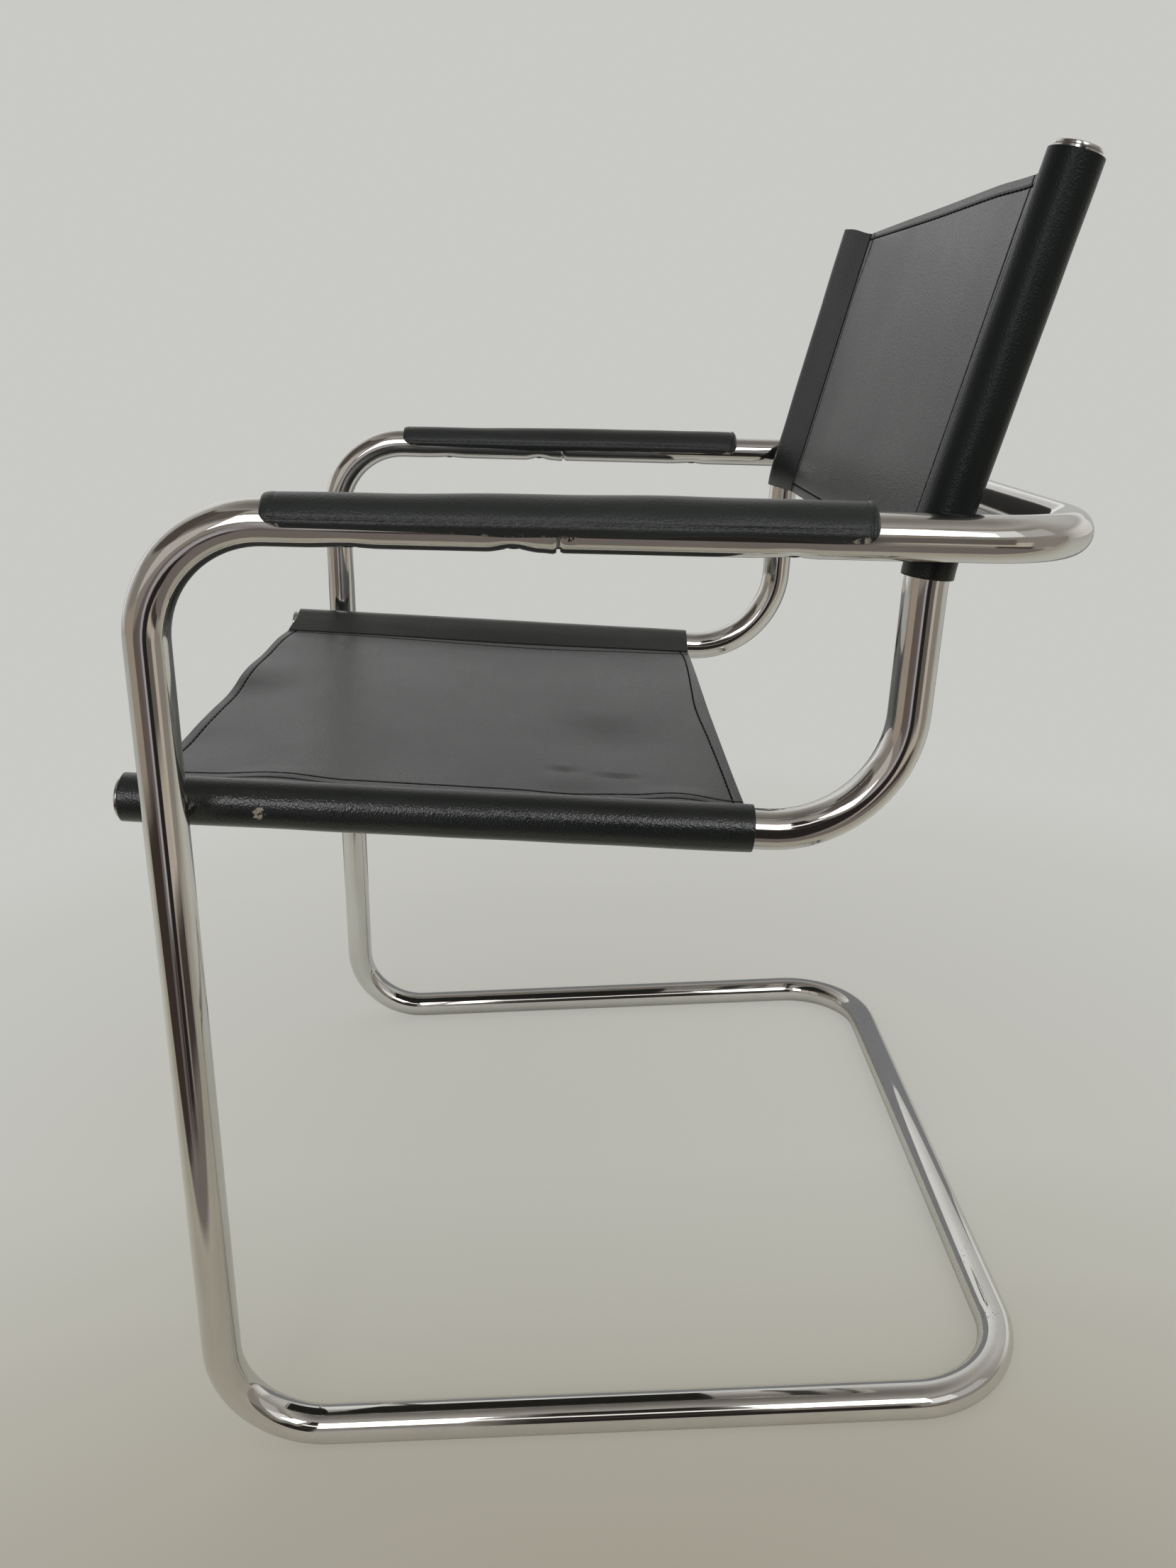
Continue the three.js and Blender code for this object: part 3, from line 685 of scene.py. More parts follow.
class Sling:
    def __init__(self, name, values, place):
        self.name = name
        self.values = values
        self.place = place        # gives the point and the sitter's side for a distance along the tube
        self.radius = tube["radius"] + leatherForm["ease"] + leatherForm["thickness"]
        self.inset = values["foldInset"]
        self.foldX = sideX - self.inset
        self.innerX = self.foldX - values["rowGap"]
        self.upperDrop = values["drop"]
        self.lowerDrop = values["drop"] + 2 * leatherForm["thickness"] + leatherForm["layerGap"]
        self.upperRun, self.upperAngle = self.tangent(self.upperDrop, -1)
        self.lowerRun, self.lowerAngle = self.tangent(self.lowerDrop, 1)
        self.arc = self.radius * (self.upperAngle - self.lowerAngle)
        self.topEnd = self.foldX + self.upperRun
        self.arcEnd = self.topEnd + self.arc
        self.underEnd = self.arcEnd + self.lowerRun
        self.halfWidth = self.underEnd + values["rowGap"] + leatherForm["flap"]

    def tangent(self, drop, turn):
        reach = math.hypot(self.inset, drop)
        angle = math.atan2(-drop, -self.inset) % (2 * math.pi)
        angle += turn * math.acos(self.radius / reach)
        if turn > 0:
            angle -= 2 * math.pi
        return math.sqrt(reach ** 2 - self.radius ** 2), angle

    def onCircle(self, angle):
        return sideX + self.radius * math.cos(angle), self.radius * math.sin(angle)

    def section(self, across):        # half section: width place, height, share of the sheet's own lift
        if across <= self.foldX:
            return across, -self.upperDrop, 1
        if self.topEnd < across <= self.arcEnd:
            return *self.onCircle(self.upperAngle - (across - self.topEnd) / self.radius), 0
        if across > self.underEnd:
            return self.foldX - (across - self.underEnd), -self.lowerDrop, 1
        if across <= self.topEnd:        # from the fold straight to the tube, above and below
            share, angle, drop = (across - self.foldX) / self.upperRun, self.upperAngle, self.upperDrop
        else:
            share, angle, drop = (self.underEnd - across) / self.lowerRun, self.lowerAngle, self.lowerDrop
        x, height = self.onCircle(angle)
        lift = 1 - smoothShare(share * leatherForm["liftFade"])
        return mixed(self.foldX, x, share), mixed(-drop, height, share), lift

    def edges(self, distance):        # each free edge with the distance from it and the way inwards
        yield self.values["firstEdge"], distance, 1
        yield self.values["lastEdge"], self.values["length"] - distance, -1

    def sheetLift(self, x, distance):
        share = min(1, abs(x) / self.foldX)
        lift = -self.values["sag"] * (1 - share ** 2)
        for edge, fromEdge, _ in self.edges(distance):
            near = smoothShare(1 - fromEdge / edge["heightReach"])
            lift = mixed(lift, throughPoints(edge["height"], x), near)
        for middleX, middle, halfX, halfLength, height in self.values["swells"]:
            lift += height * bump((x - middleX) / halfX) * bump((distance - middle) / halfLength)
        return lift

    def edgeShift(self, x, distance):
        return sum(
            inward * throughPoints(edge["setback"], x) * smoothShare(1 - fromEdge / edge["pullReach"])
            for edge, fromEdge, inward in self.edges(distance)
        )

    def tunnelShift(self, mirror, distance):        # how far each tunnel's end stands back, right and left
        which = 0 if mirror > 0 else 1
        return sum(
            inward * edge["tunnelSetback"][which] * smoothShare(1 - fromEdge / leatherForm["tunnelReach"])
            for edge, fromEdge, inward in self.edges(distance)
        )

    def hemPlace(self, word, x):
        inset = throughPoints(self.values[word]["hem"], x)
        return inset if word == "firstEdge" else self.values["length"] - inset

    def rowPlace(self, row, across, distance):        # the inner seam row wanders a little
        if row == "outerRow":
            return self.foldX
        return self.innerX + throughPoints(self.values["innerRow"][0 if across > 0 else 1], distance)

    def sewnShare(self, across, distance):        # 1 on a seam row, 0 beside it
        if abs(across) > self.topEnd:
            return 0
        away = [abs(across) - self.rowPlace(row, across, distance) for row in seamRows]
        if abs(across) < self.foldX:
            away += [distance - self.hemPlace(word, across) for word in sheetEdges]
        return max(bump(gap / leatherForm["seamWidth"]) for gap in away)

    def point(self, across, distance, raised=0.0):
        mirror = math.copysign(1, across)
        x, height, lift = self.section(abs(across))
        height += lift * self.sheetLift(mirror * x, distance)
        height -= leatherForm["seamDepth"] * self.sewnShare(across, distance)
        spot = Vector((mirror * x, distance, height)) * Vector(leatherForm["wrinkleScale"])
        spot.z += self.values["seed"]
        scale = 1 + (1 - lift) * self.values["tunnelWaves"] / self.radius * noise.noise(spot)
        x, height = sideX + (x - sideX) * scale, height * scale
        shift = mixed(self.tunnelShift(mirror, distance), self.edgeShift(mirror * x, distance), lift)
        centre, sitter = self.place(self.values["start"] + distance + shift)
        return centre + Vector((mirror * x, 0, 0)) + sitter * (height + raised)

    def normal(self, across, distance):
        probe = leatherForm["probe"]
        lengthwise = self.point(across, distance + probe) - self.point(across, distance - probe)
        sideways = self.point(across + probe, distance) - self.point(across - probe, distance)
        normal = sideways.cross(lengthwise).normalized()
        sitter = self.place(self.values["start"] + distance)[1]
        return normal if normal.dot(sitter) > 0 else -normal

    def acrossMarks(self):
        plan = slingMesh
        (before, after), (bandBefore, bandAfter) = plan["bandGaps"], plan["seamBand"]
        half = stepped(0, self.innerX - before, plan["sheetStep"])
        half += stepped(self.innerX - bandBefore, self.foldX + bandAfter, plan["seamStep"])
        half += stepped(self.foldX + after, self.topEnd, plan["slopeStep"])
        ends = (self.topEnd, self.arcEnd, self.underEnd, self.halfWidth)
        for first, last, step in zip(ends, ends[1:], plan["roundSteps"]):
            half += stepped(first, last, step)[1:]
        return [-mark for mark in reversed(half[1:])] + half

    def alongMarks(self):
        plan = slingMesh
        length, start = self.values["length"], plan["lengthFrom"]
        near = [*plan["rimMarks"], *stepped(*plan["hemBand"], plan["hemStep"])]
        far = [length - mark for mark in reversed(near)]
        return near + stepped(start, length - start, plan["lengthStep"]) + far


def gridOf(acrossMarks, alongMarks, pointAt, **marks):        # marks are stored on the points for the leather
    bm = bmesh.new()
    for layer in marks:
        bm.verts.layers.float.new(layer)
    columns, rows = len(acrossMarks), len(alongMarks)
    bmesh.ops.create_grid(bm, x_segments=columns - 1, y_segments=rows - 1, size=1)
    for vert in bm.verts:
        column = round((vert.co.x + 1) / 2 * (columns - 1))
        row = round((vert.co.y + 1) / 2 * (rows - 1))
        vert.co = pointAt(acrossMarks[column], alongMarks[row])
        for layer, shareAt in marks.items():
            vert[bm.verts.layers.float[layer]] = shareAt(acrossMarks[column], alongMarks[row])
    return bm


def thicken(piece, thickness, inside, rim):
    wall = piece.modifiers.new("leatherThickness", "SOLIDIFY")
    wall.thickness = thickness
    wall.offset = -1
    wall.use_even_offset = True
    wall.material_offset = inside
    wall.material_offset_rim = rim
    return wall


def seatPlace(distance):
    return seatFront + seatBack * distance, seatNormal


def backPlace(distance):
    bend = side["kneeBend"]
    turn = side["backLean"] - side["uprightLean"]
    bendFrom = side["backAboveArm"] + side["kneeBelowArm"] - bend * math.tan(turn / 2)
    if distance <= bendFrom:
        return backTop - backUp * distance, backNormal
    angle = (distance - bendFrom) / bend
    start = backTop - backUp * bendFrom
    centre = start - backNormal * bend
    spoke = backNormal * math.cos(angle) - backUp * math.sin(angle)
    return centre + spoke * bend, spoke


# A profile is a smooth line through pairs of a place across, +X to the right, and the free edge's rise, its
# setback or its hem's inset there. The two tunnel setbacks and the two inner rows are those of the right
# and the left side. An inner row goes by the distance along the tube.

seatValues = {
    "start": 0.0015, "length": 0.3737, "foldInset": 0.0365, "rowGap": 0.0085, "drop": -0.0016, "sag": 0.0032,
    "seed": 3.1, "tunnelWaves": 0.0003,
    "swells": (        # place across and along, half width, half length and height
        (0.198, 0.079, 0.024, 0.042, 0.0026),        # swollen seam near the front
        (0.198, 0.332, 0.024, 0.034, 0.0024),        # the same near the rear
        (0.198, 0.262, 0.028, 0.040, -0.0012),
        (-0.196, 0.211, 0.040, 0.150, -0.0012),        # far seam pulled down
        (0.078, 0.290, 0.085, 0.060, -0.0040),        # hollow left by use
        (0.153, 0.258, 0.009, 0.016, -0.0016),        # two dents
        (0.161, 0.294, 0.007, 0.024, -0.0015),
    ),
    "firstEdge": {
        "height": ((-0.260, 0.0), (-0.205, 0.0000), (-0.165, 0.0008), (-0.111, -0.0004), (-0.062, 0.0012),
                   (-0.036, 0.0002), (-0.012, -0.0030), (0.010, -0.0044), (0.050, -0.0038), (0.087, -0.0038),
                   (0.130, -0.0047), (0.197, -0.0010), (0.260, 0.0)),
        "heightReach": 0.060,
        "setback": ((-0.260, 0.0), (-0.205, -0.0020), (-0.160, -0.0034), (0.0, -0.0030), (0.120, -0.0028),
                    (0.205, -0.0020), (0.260, 0.0)),
        "pullReach": 0.060, "tunnelSetback": (-0.0012, 0.0018),
        "hem": ((-0.206, 0.0072), (-0.190, 0.0062), (-0.100, 0.0050), (-0.040, 0.0060), (0.206, 0.0066)),
    },
    "lastEdge": {
        "height": ((-0.260, 0.0), (-0.205, 0.0), (-0.126, -0.0006), (-0.010, -0.0019), (0.080, -0.0018),
                   (0.190, -0.0016), (0.260, 0.0)),
        "heightReach": 0.050,
        "setback": ((-0.260, 0.0), (-0.206, -0.0002), (-0.126, 0.0), (0.0, 0.0010), (0.190, 0.0014),
                    (0.260, 0.0)),
        "pullReach": 0.050, "tunnelSetback": (0.0025, -0.0004),
        "hem": ((-0.206, 0.0078), (-0.190, 0.0058), (-0.145, 0.0058), (-0.076, 0.0082), (-0.019, 0.0098),
                (0.057, 0.0080), (0.143, 0.0066), (0.206, 0.0065)),
    },
    "innerRow": (
        ((0.0, 0.0), (0.076, -0.0010), (0.171, 0.0005), (0.250, 0.0014), (0.334, -0.0010), (0.374, 0.0)),
        ((0.0, 0.0040), (0.096, 0.0010), (0.231, -0.0045), (0.326, -0.0020), (0.374, 0.0)),
    ),
}
backValues = {
    "start": 0.0015, "length": 0.2190, "foldInset": 0.0480, "rowGap": 0.0065, "drop": -0.0004, "sag": 0.0012,
    "seed": 8.4, "tunnelWaves": 0.0003,
    "swells": (
        (0.060, 0.110, 0.110, 0.090, -0.0008),
        (-0.160, 0.150, 0.040, 0.070, -0.0008),
    ),
    "firstEdge": {
        "height": ((-0.260, 0.0), (-0.100, -0.0004), (0.080, -0.0014), (0.190, -0.0004), (0.260, 0.0)),
        "heightReach": 0.040,
        "setback": ((-0.260, 0.0), (-0.190, 0.0004), (0.0, 0.0004), (0.120, 0.0004), (0.190, 0.0026),
                    (0.260, 0.0)),
        "pullReach": 0.040, "tunnelSetback": (0.0, -0.0034),
        "hem": ((-0.200, 0.0046), (-0.100, 0.0056), (0.0, 0.0062), (0.200, 0.0062)),
    },
    "lastEdge": {
        "height": ((-0.260, 0.0), (-0.100, 0.0008), (0.0, -0.0006), (0.260, 0.0)),
        "heightReach": 0.040,
        "setback": ((-0.260, 0.0), (0.260, 0.0)),
        "pullReach": 0.040, "tunnelSetback": (0.0, 0.0),
        "hem": ((-0.200, 0.0068), (0.200, 0.0068)),
    },
    "innerRow": (
        ((0.0, 0.0), (0.110, 0.0010), (0.219, -0.0005)),
        ((0.0, -0.0050), (0.022, -0.0040), (0.045, 0.0010), (0.100, 0.0), (0.219, 0.0)),
    ),
}
hemStrip = {"thickness": 0.0014, "gap": 0.0001, "reach": 0.0115, "sideGap": 0.004, "steps": (0.006, 0.002)}
stitchForm = {
    "length": 0.0062, "pitch": 0.0076, "width": 0.0012, "height": 0.0009, "raise": 0.0005, "sides": 6,
    "rings": 4, "rowEnds": (0.004, 0.002), "hemEnds": 0.002, "wander": 0.06, "wanderScale": 900,
    "aheadStep": 0.0008,
}


def makeSling(sling, node):
    bm = gridOf(sling.acrossMarks(), sling.alongMarks(), sling.point, sewn=sling.sewnShare)
    halfway = sling.values["length"] / 2
    middle = min(bm.faces, key=lambda face: (face.calc_center_median() - sling.point(0, halfway)).length)
    turnTowards(bm, middle, sling.place(halfway)[1])
    piece = finishPiece(sling.name, bm, (leather, fleshSide, cutEdge), node, 60)
    thicken(piece, leatherForm["thickness"] - leatherForm["layerGap"], 1, 2)
    extras = makeHemStrips(sling) + [makeSlingStitches(sling)]


def makeHemStrips(sling):        # the turned edge under the front and the rear of the sheet
    form = hemStrip
    strips = []
    acrossStep, alongStep = form["steps"]
    halfLength = sling.innerX - form["sideGap"]
    under = -leatherForm["thickness"] - form["gap"]
    for word, start in (("First", 0), ("Last", sling.values["length"] - form["reach"])):
        acrossMarks = stepped(-halfLength, halfLength, acrossStep)
        alongMarks = stepped(start, start + form["reach"], alongStep)
        bm = gridOf(acrossMarks, alongMarks, lambda across, distance: sling.point(across, distance, under))
        bm.faces.ensure_lookup_table()
        turnTowards(bm, bm.faces[0], sling.place(start)[1])
        layers = (fleshSide, leather, cutEdge)
        strip = finishPiece(f"{sling.name}{word}Hem", bm, layers, sharpDegrees=60)
        thicken(strip, form["thickness"], 1, 2)
        strips.append(strip)
    return strips


def addStitch(bm, place, heading, normal, form):
    halves = Matrix.Diagonal((form["length"] / 2, form["width"] / 2, form["height"] / 2, 1))
    bmesh.ops.create_uvsphere(
        bm, u_segments=form["sides"], v_segments=form["rings"], radius=1,
        matrix=frameAt(place, heading, normal) @ halves @ Matrix.Rotation(math.pi / 2, 4, "Y"),
    )


def stitchPlaces(first, length, pitch):
    return [first + (index + 0.5) * pitch for index in range(int(length / pitch))]


def makeSlingStitches(sling):
    form = stitchForm
    bm = bmesh.new()
    rowLength = sling.values["length"] - sum(form["rowEnds"])
    halfHem = sling.foldX - form["hemEnds"]
    for row in seamRows:
        for sign in (1, -1):
            for distance in stitchPlaces(form["rowEnds"][0], rowLength, form["pitch"]):
                sewOn(bm, sling, sign * sling.rowPlace(row, sign, distance), distance, 0, 1)
    for word in sheetEdges:
        for across in stitchPlaces(-halfHem, 2 * halfHem, form["pitch"]):
            sewOn(bm, sling, across, sling.hemPlace(word, across), 1, 0)
    return finishPiece(f"{sling.name}Stitches", bm, (thread,), sharpDegrees=180)


def sewOn(bm, sling, across, distance, acrossStep, alongStep):
    form = stitchForm
    step = form["aheadStep"]
    here = sling.point(across, distance)
    heading = sling.point(across + acrossStep * step, distance + alongStep * step) - here
    normal = sling.normal(across, distance)
    heading = (heading - normal * heading.dot(normal)).normalized()
    wander = Matrix.Rotation(form["wander"] * noise.noise(here * form["wanderScale"]), 3, normal)
    addStitch(bm, here + normal * form["raise"], wander @ heading, normal, form)


seatSling = Sling("seatSling", seatValues, seatPlace)
backSling = Sling("backSling", backValues, backPlace)
makeSling(seatSling, "seat_sling")
makeSling(backSling, "back_sling")
print("slings sewn")

# Arm pads: a leather cover rolled over a moulded channel, closed and sewn at both ends

padForm = {        # radii and wraps go by the distance from the pad's front, wraps in degrees
    "radii": ((0.0, 0.0153), (0.030, 0.0156), (0.090, 0.0163), (0.165, 0.0176), (0.280, 0.0179),
              (0.320, 0.0178)),
    "frontTrim": 0.0013, "rearTrim": 0.0028,
    "wraps": ((0.0, 3.5), (0.028, 3.5), (0.050, 4.5), (0.090, 6.5), (0.115, 10), (0.123, 11), (0.150, 8),
              (0.172, 5), (0.195, 5), (0.225, 0.0), (0.250, -0.8), (0.269, 1.6), (0.287, 3.9), (0.305, 6),
              (0.320, 6)),
    "endWrap": math.radians(-30), "frontWrapOver": 0.0125, "rearWrapOver": 0.0080, "endRound": 0.0036,
    "endRadius": 0.0140, "thickness": 0.0012, "rollIn": 0.0012, "rollFrom": math.radians(8),
    "rollOver": math.radians(16), "stitchAngle": math.radians(15.5), "seamWidth": 0.0011,
    "seamDepth": 0.00035, "frontSeam": 0.0068, "rearSeam": 0.0050, "frontRing": 0.00012, "rearRing": 0.0004,
    "rimShare": 1.2, "rimOffset": 0.0021, "rimWidth": 0.0020, "waves": 0.00045, "waveScale": (22, 1.3),
    "seed": 4.0, "fill": 0.9,
    "edgeWear": 0.1, "edgeWearBelow": (0.0006, 0.0018), "cornerWear": 1.0,
    "cornerWearBelow": (-0.0025, 0.004), "cornerLength": 0.020,
}
padMesh = {
    "edgeShares": (0, 0.006, 0.014, 0.024, 0.036, 0.050, 0.062, 0.071, 0.080, 0.089, 0.098, 0.110, 0.125),
    "middleShares": (0.15, 0.85, 0.025), "roundAngles": (0, 15, 30, 45, 60, 75, 90), "endStep": 0.0005,
    "endTo": 0.0105, "middleFrom": 0.013, "middleStep": 0.004,
}
padStitch = {
    "length": 0.0050, "pitch": 0.0072, "width": 0.0010, "height": 0.0010, "raise": 0.0001, "sides": 6,
    "rings": 4, "rowEnds": (0.012, 0.010), "slant": math.radians(12), "outStep": 0.001,
}
padCore = {        # the channel under the cover, hidden by it
    "lessWrap": math.radians(4), "inset": 0.006, "belowCover": 0.0013, "thickness": 0.0008,
    "shareStep": 0.05, "lengthStep": 0.008,
}
padFrom = padStart + padForm["frontTrim"]
padLength = padEnd - padForm["rearTrim"] - padFrom


def padRadius(distance, angle, seed):
    form = padForm
    radius = throughPoints(form["radii"], distance)
    lengthScale, angleScale = form["waveScale"]
    radius += form["waves"] * noise.noise(Vector((distance * lengthScale, angle * angleScale, seed)))
    lowAngle = min(angle, math.pi - angle)
    radius -= form["rollIn"] * smoothShare((form["rollFrom"] - lowAngle) / form["rollOver"])
    radius -= form["seamDepth"] * bump((lowAngle - form["stitchAngle"]) * radius / form["seamWidth"])
    seams = ((form["frontSeam"], -1, form["frontRing"]), (padLength - form["rearSeam"], 1, form["rearRing"]))
    for seam, outward, depth in seams:
        radius -= depth * bump((distance - seam) / form["seamWidth"])
        fromRim = (distance - seam) * outward - form["rimOffset"]
        radius += depth * form["rimShare"] * bump(fromRim / form["rimWidth"])
    fromEnd = min(distance, padLength - distance)
    share = max(0, 1 - fromEnd / form["endRound"])
    return mixed(form["endRadius"], radius, math.sqrt(1 - share ** 2))


def padWrap(distance):        # how far below the middle of the tube the cover reaches
    form = padForm
    fromEnd = min(distance, padLength - distance)
    short = max(0, 1 - fromEnd / form["frontWrapOver" if distance < padLength / 2 else "rearWrapOver"])
    wrap = math.radians(throughPoints(form["wraps"], distance))
    return mixed(form["endWrap"], wrap, math.sqrt(1 - short ** 2))


def padPoint(sign, share, distance, lessWrap=0.0, raised=0.0):        # share runs from the outer edge inwards
    wrap = padWrap(distance) - lessWrap
    return padPlace(sign, mixed(-wrap, math.pi + wrap, share), distance, raised)


def padPlace(sign, angle, distance, raised=0.0):
    radius = padRadius(distance, angle, padForm["seed"] + sign) + raised
    centre = atX(armCorner + armBack * (padFrom + distance), sign * frameX)
    return centre + (Vector((sign, 0, 0)) * math.cos(angle) + armUp * math.sin(angle)) * radius


def padShares():
    edge = padMesh["edgeShares"]
    return [*edge, *stepped(*padMesh["middleShares"]), *(1 - share for share in reversed(edge))]


def padDistances():
    plan = padMesh
    endRound = padForm["endRound"]
    ends = [endRound * (1 - math.cos(math.radians(angle))) for angle in plan["roundAngles"]]
    ends += stepped(endRound + plan["endStep"], plan["endTo"], plan["endStep"])
    middle = stepped(plan["middleFrom"], padLength - plan["middleFrom"], plan["middleStep"])
    return ends + middle + [padLength - mark for mark in reversed(ends)]


def padWear(sign, share, distance):        # 1 on the rubbed corners, less along the lower edge
    form = padForm
    depth = (armCorner - padPoint(sign, share, distance)).dot(armUp)        # below the middle of the tube
    fromEnd = min(distance, padLength - distance)
    spans = (form["edgeWearBelow"], form["cornerWearBelow"])
    low, corner = (smoothShare((depth - first) / reach) for first, reach in spans)
    corner *= smoothShare(1 - fromEnd / form["cornerLength"])
    return min(1, form["edgeWear"] * low + form["cornerWear"] * corner)


def makePadStitches(word, sign):
    bm = bmesh.new()
    form = padStitch
    start = form["rowEnds"][0] - form["pitch"] / 2
    for distance in stitchPlaces(start, padLength - sum(form["rowEnds"]), form["pitch"]):
        for angle, mirror in ((padForm["stitchAngle"], 1), (math.pi - padForm["stitchAngle"], -1)):
            here = padPlace(sign, angle, distance, form["raise"])
            normal = (padPlace(sign, angle, distance, form["outStep"]) - here).normalized()
            slanted = Matrix.Rotation(mirror * sign * form["slant"], 3, normal) @ armBack
            addStitch(bm, here, slanted, normal, form)
    finishPiece(f"armPadStitches{word}", bm, (padThread,), sharpDegrees=180)


def makePadLayer(name, node, across, along, pointAt, materials, slot, thickness, **marks):
    bm = gridOf(across, along, pointAt, **marks)
    turnTowards(bm, max(bm.faces, key=lambda face: face.calc_center_median().z), armUp)
    piece = finishPiece(name, bm, materials, node, 60)
    thicken(piece, thickness, 1, 2)
    return piece


def makeArmPad(word, node, sign):
    cover = makePadLayer(
        f"armPadCover{word}", f"arm_pad_cover_{node}", padShares(), padDistances(),
        lambda share, distance: padPoint(sign, share, distance), (padLeather, fleshSide, cutEdge),
        "black_leather", padForm["thickness"], wear=lambda share, distance: padWear(sign, share, distance),
    )
    makePadStitches(word, sign)
    form = padCore
    makePadLayer(
        f"armPadCore{word}", f"arm_pad_core_{node}", stepped(0, 1, form["shareStep"]),
        stepped(form["inset"], padLength - form["inset"], form["lengthStep"]),
        lambda share, distance: padPoint(sign, share, distance, form["lessWrap"], -form["belowCover"]),
        (darkPlastic,) * 3, "dark_plastic", form["thickness"],
    )


for sideOf in sides:
    makeArmPad(*sideOf)
print("arm pads made")

# Pad screws: pan heads in the pressed hollows under the arms

screwForm = {
    "radius": 0.002, "headRadius": 0.0042, "headHeight": 0.0006, "steps": 24, "gap": 0.0003,
    "tipReach": 0.0026, "crown": ((0, 0), (0.0022, 0.0001), (0.0037, 0.0003)), "headEdge": (0.0002, 0.00015),
}


def makePadScrew(name, node, place, seat):
    form = screwForm
    radius, headRadius = form["radius"], form["headRadius"]
    inset, lower = form["headEdge"]
    tip = tube["radius"] + form["tipReach"]
    crown = [(x, rise - seat - form["headHeight"]) for x, rise in form["crown"]]
    rim = [(headRadius, -seat - lower), (headRadius - inset, -seat)]
    profile = [*crown, *rim, (radius, -seat), (radius, tip), (0, tip)]
    finishPiece(name, turned(profile, form["steps"], place, armUp), (zincSteel,), node)


for word, node, sign in sides:
    plan = zip(("Front", "Middle", "Rear"), screwDistances, armForm["hollowDepths"])
    for where, distance, depth in plan:
        makePadScrew(
            f"armPadScrew{word}{where}", f"arm_pad_screw_{node}_{where.lower()}",
            atX(armCorner + armBack * distance, sign * frameX),
            tube["radius"] - depth - armForm["pocketDepth"] + screwForm["gap"],
        )
print("pad screws made")

# Floor, backdrop and light

stageLook = {
    "floorHalf": 6, "floorRoughness": 0.6, "backdropColour": (0.585, 0.585, 0.562),
    # painted shade and light in the floor's tone: darker towards +X, the camera side, and lifted under the
    # chair to pale its shadow
    "floorToneAndPaintedShade": ((-0.60, (0.525, 0.519, 0.484)), (0.0, (0.512, 0.512, 0.468)),
                   (0.16, (0.466, 0.457, 0.405)), (0.30, (0.402, 0.381, 0.323)),
                   (0.40, (0.345, 0.322, 0.262))),
    "lowCard": {"x": -0.62, "halfLength": 0.9, "heights": (0.002, 0.002, 0.43, 0.43),
                "colour": (0.21, 0.215, 0.22)},
    "fadeFrom": (0.36, 1.15), "shadowSoftening": 0.7, "glossyEdge": (0.50, 0.54),
}


def addTones(tree, value, stops):        # a ramp over the range of the stops
    first, last = stops[0][0], stops[-1][0]
    share = addRange(tree, value, first, last, 0, 1)
    return addRamp(tree, share, [((place - first) / (last - first), colour) for place, colour in stops])


def addMixShader(tree, factor, first, second):
    return wire(tree, addNode(tree, "MixShader"), {0: factor, 1: first, 2: second}).outputs["Shader"]


def addEmission(tree, colour):
    return addNode(tree, "Emission", Color=colour, Strength=1).outputs["Emission"]


def directlySeen(tree, rays):        # by the camera, or through something clear
    return addMath(tree, "MAXIMUM", rays["Is Camera Ray"], rays["Is Transmission Ray"])


def makeFloor():
    look = stageLook
    material, tree, shader = newMaterial("paleFloor")
    bm = bmesh.new()
    bmesh.ops.create_grid(bm, x_segments=1, y_segments=1, size=look["floorHalf"])
    makeObject("floor", bm, (material,))
    vector = objectPlace(tree)
    rightward = splitAxes(tree, vector)["X"]
    # the floor's tone by X carries painted shade towards the camera side and painted light under the chair
    tone = addTones(tree, rightward, look["floorToneAndPaintedShade"])
    wire(tree, shader, {"Base Color": tone, "Roughness": look["floorRoughness"]})
    length = addNode(tree, "VectorMath", {"operation": "LENGTH"}, Vector=vector)
    far = addRange(tree, length.outputs["Value"], *look["fadeFrom"])
    glow = addEmission(tree, addMix(tree, far, tone, look["backdropColour"]))
    rays = addNode(tree, "LightPath").outputs
    share = addProduct(tree, addRange(tree, far, 0, 1, look["shadowSoftening"], 1), directlySeen(tree, rays))
    shown = addMixShader(tree, share, shader.outputs["BSDF"], glow)
    cleared = addProduct(tree, addRange(tree, rightward, *look["glossyEdge"]), rays["Is Glossy Ray"])
    shown = addMixShader(tree, cleared, shown, addNode(tree, "BsdfTransparent").outputs["BSDF"])
    wire(tree, tree.nodes["Material Output"], {"Surface": shown})


# What the chrome and the leather mirror: the pale backdrop behind the chair, and light and dark cards
# round the camera. Turns are degrees from +X towards +Y, heights are degrees above the horizon.

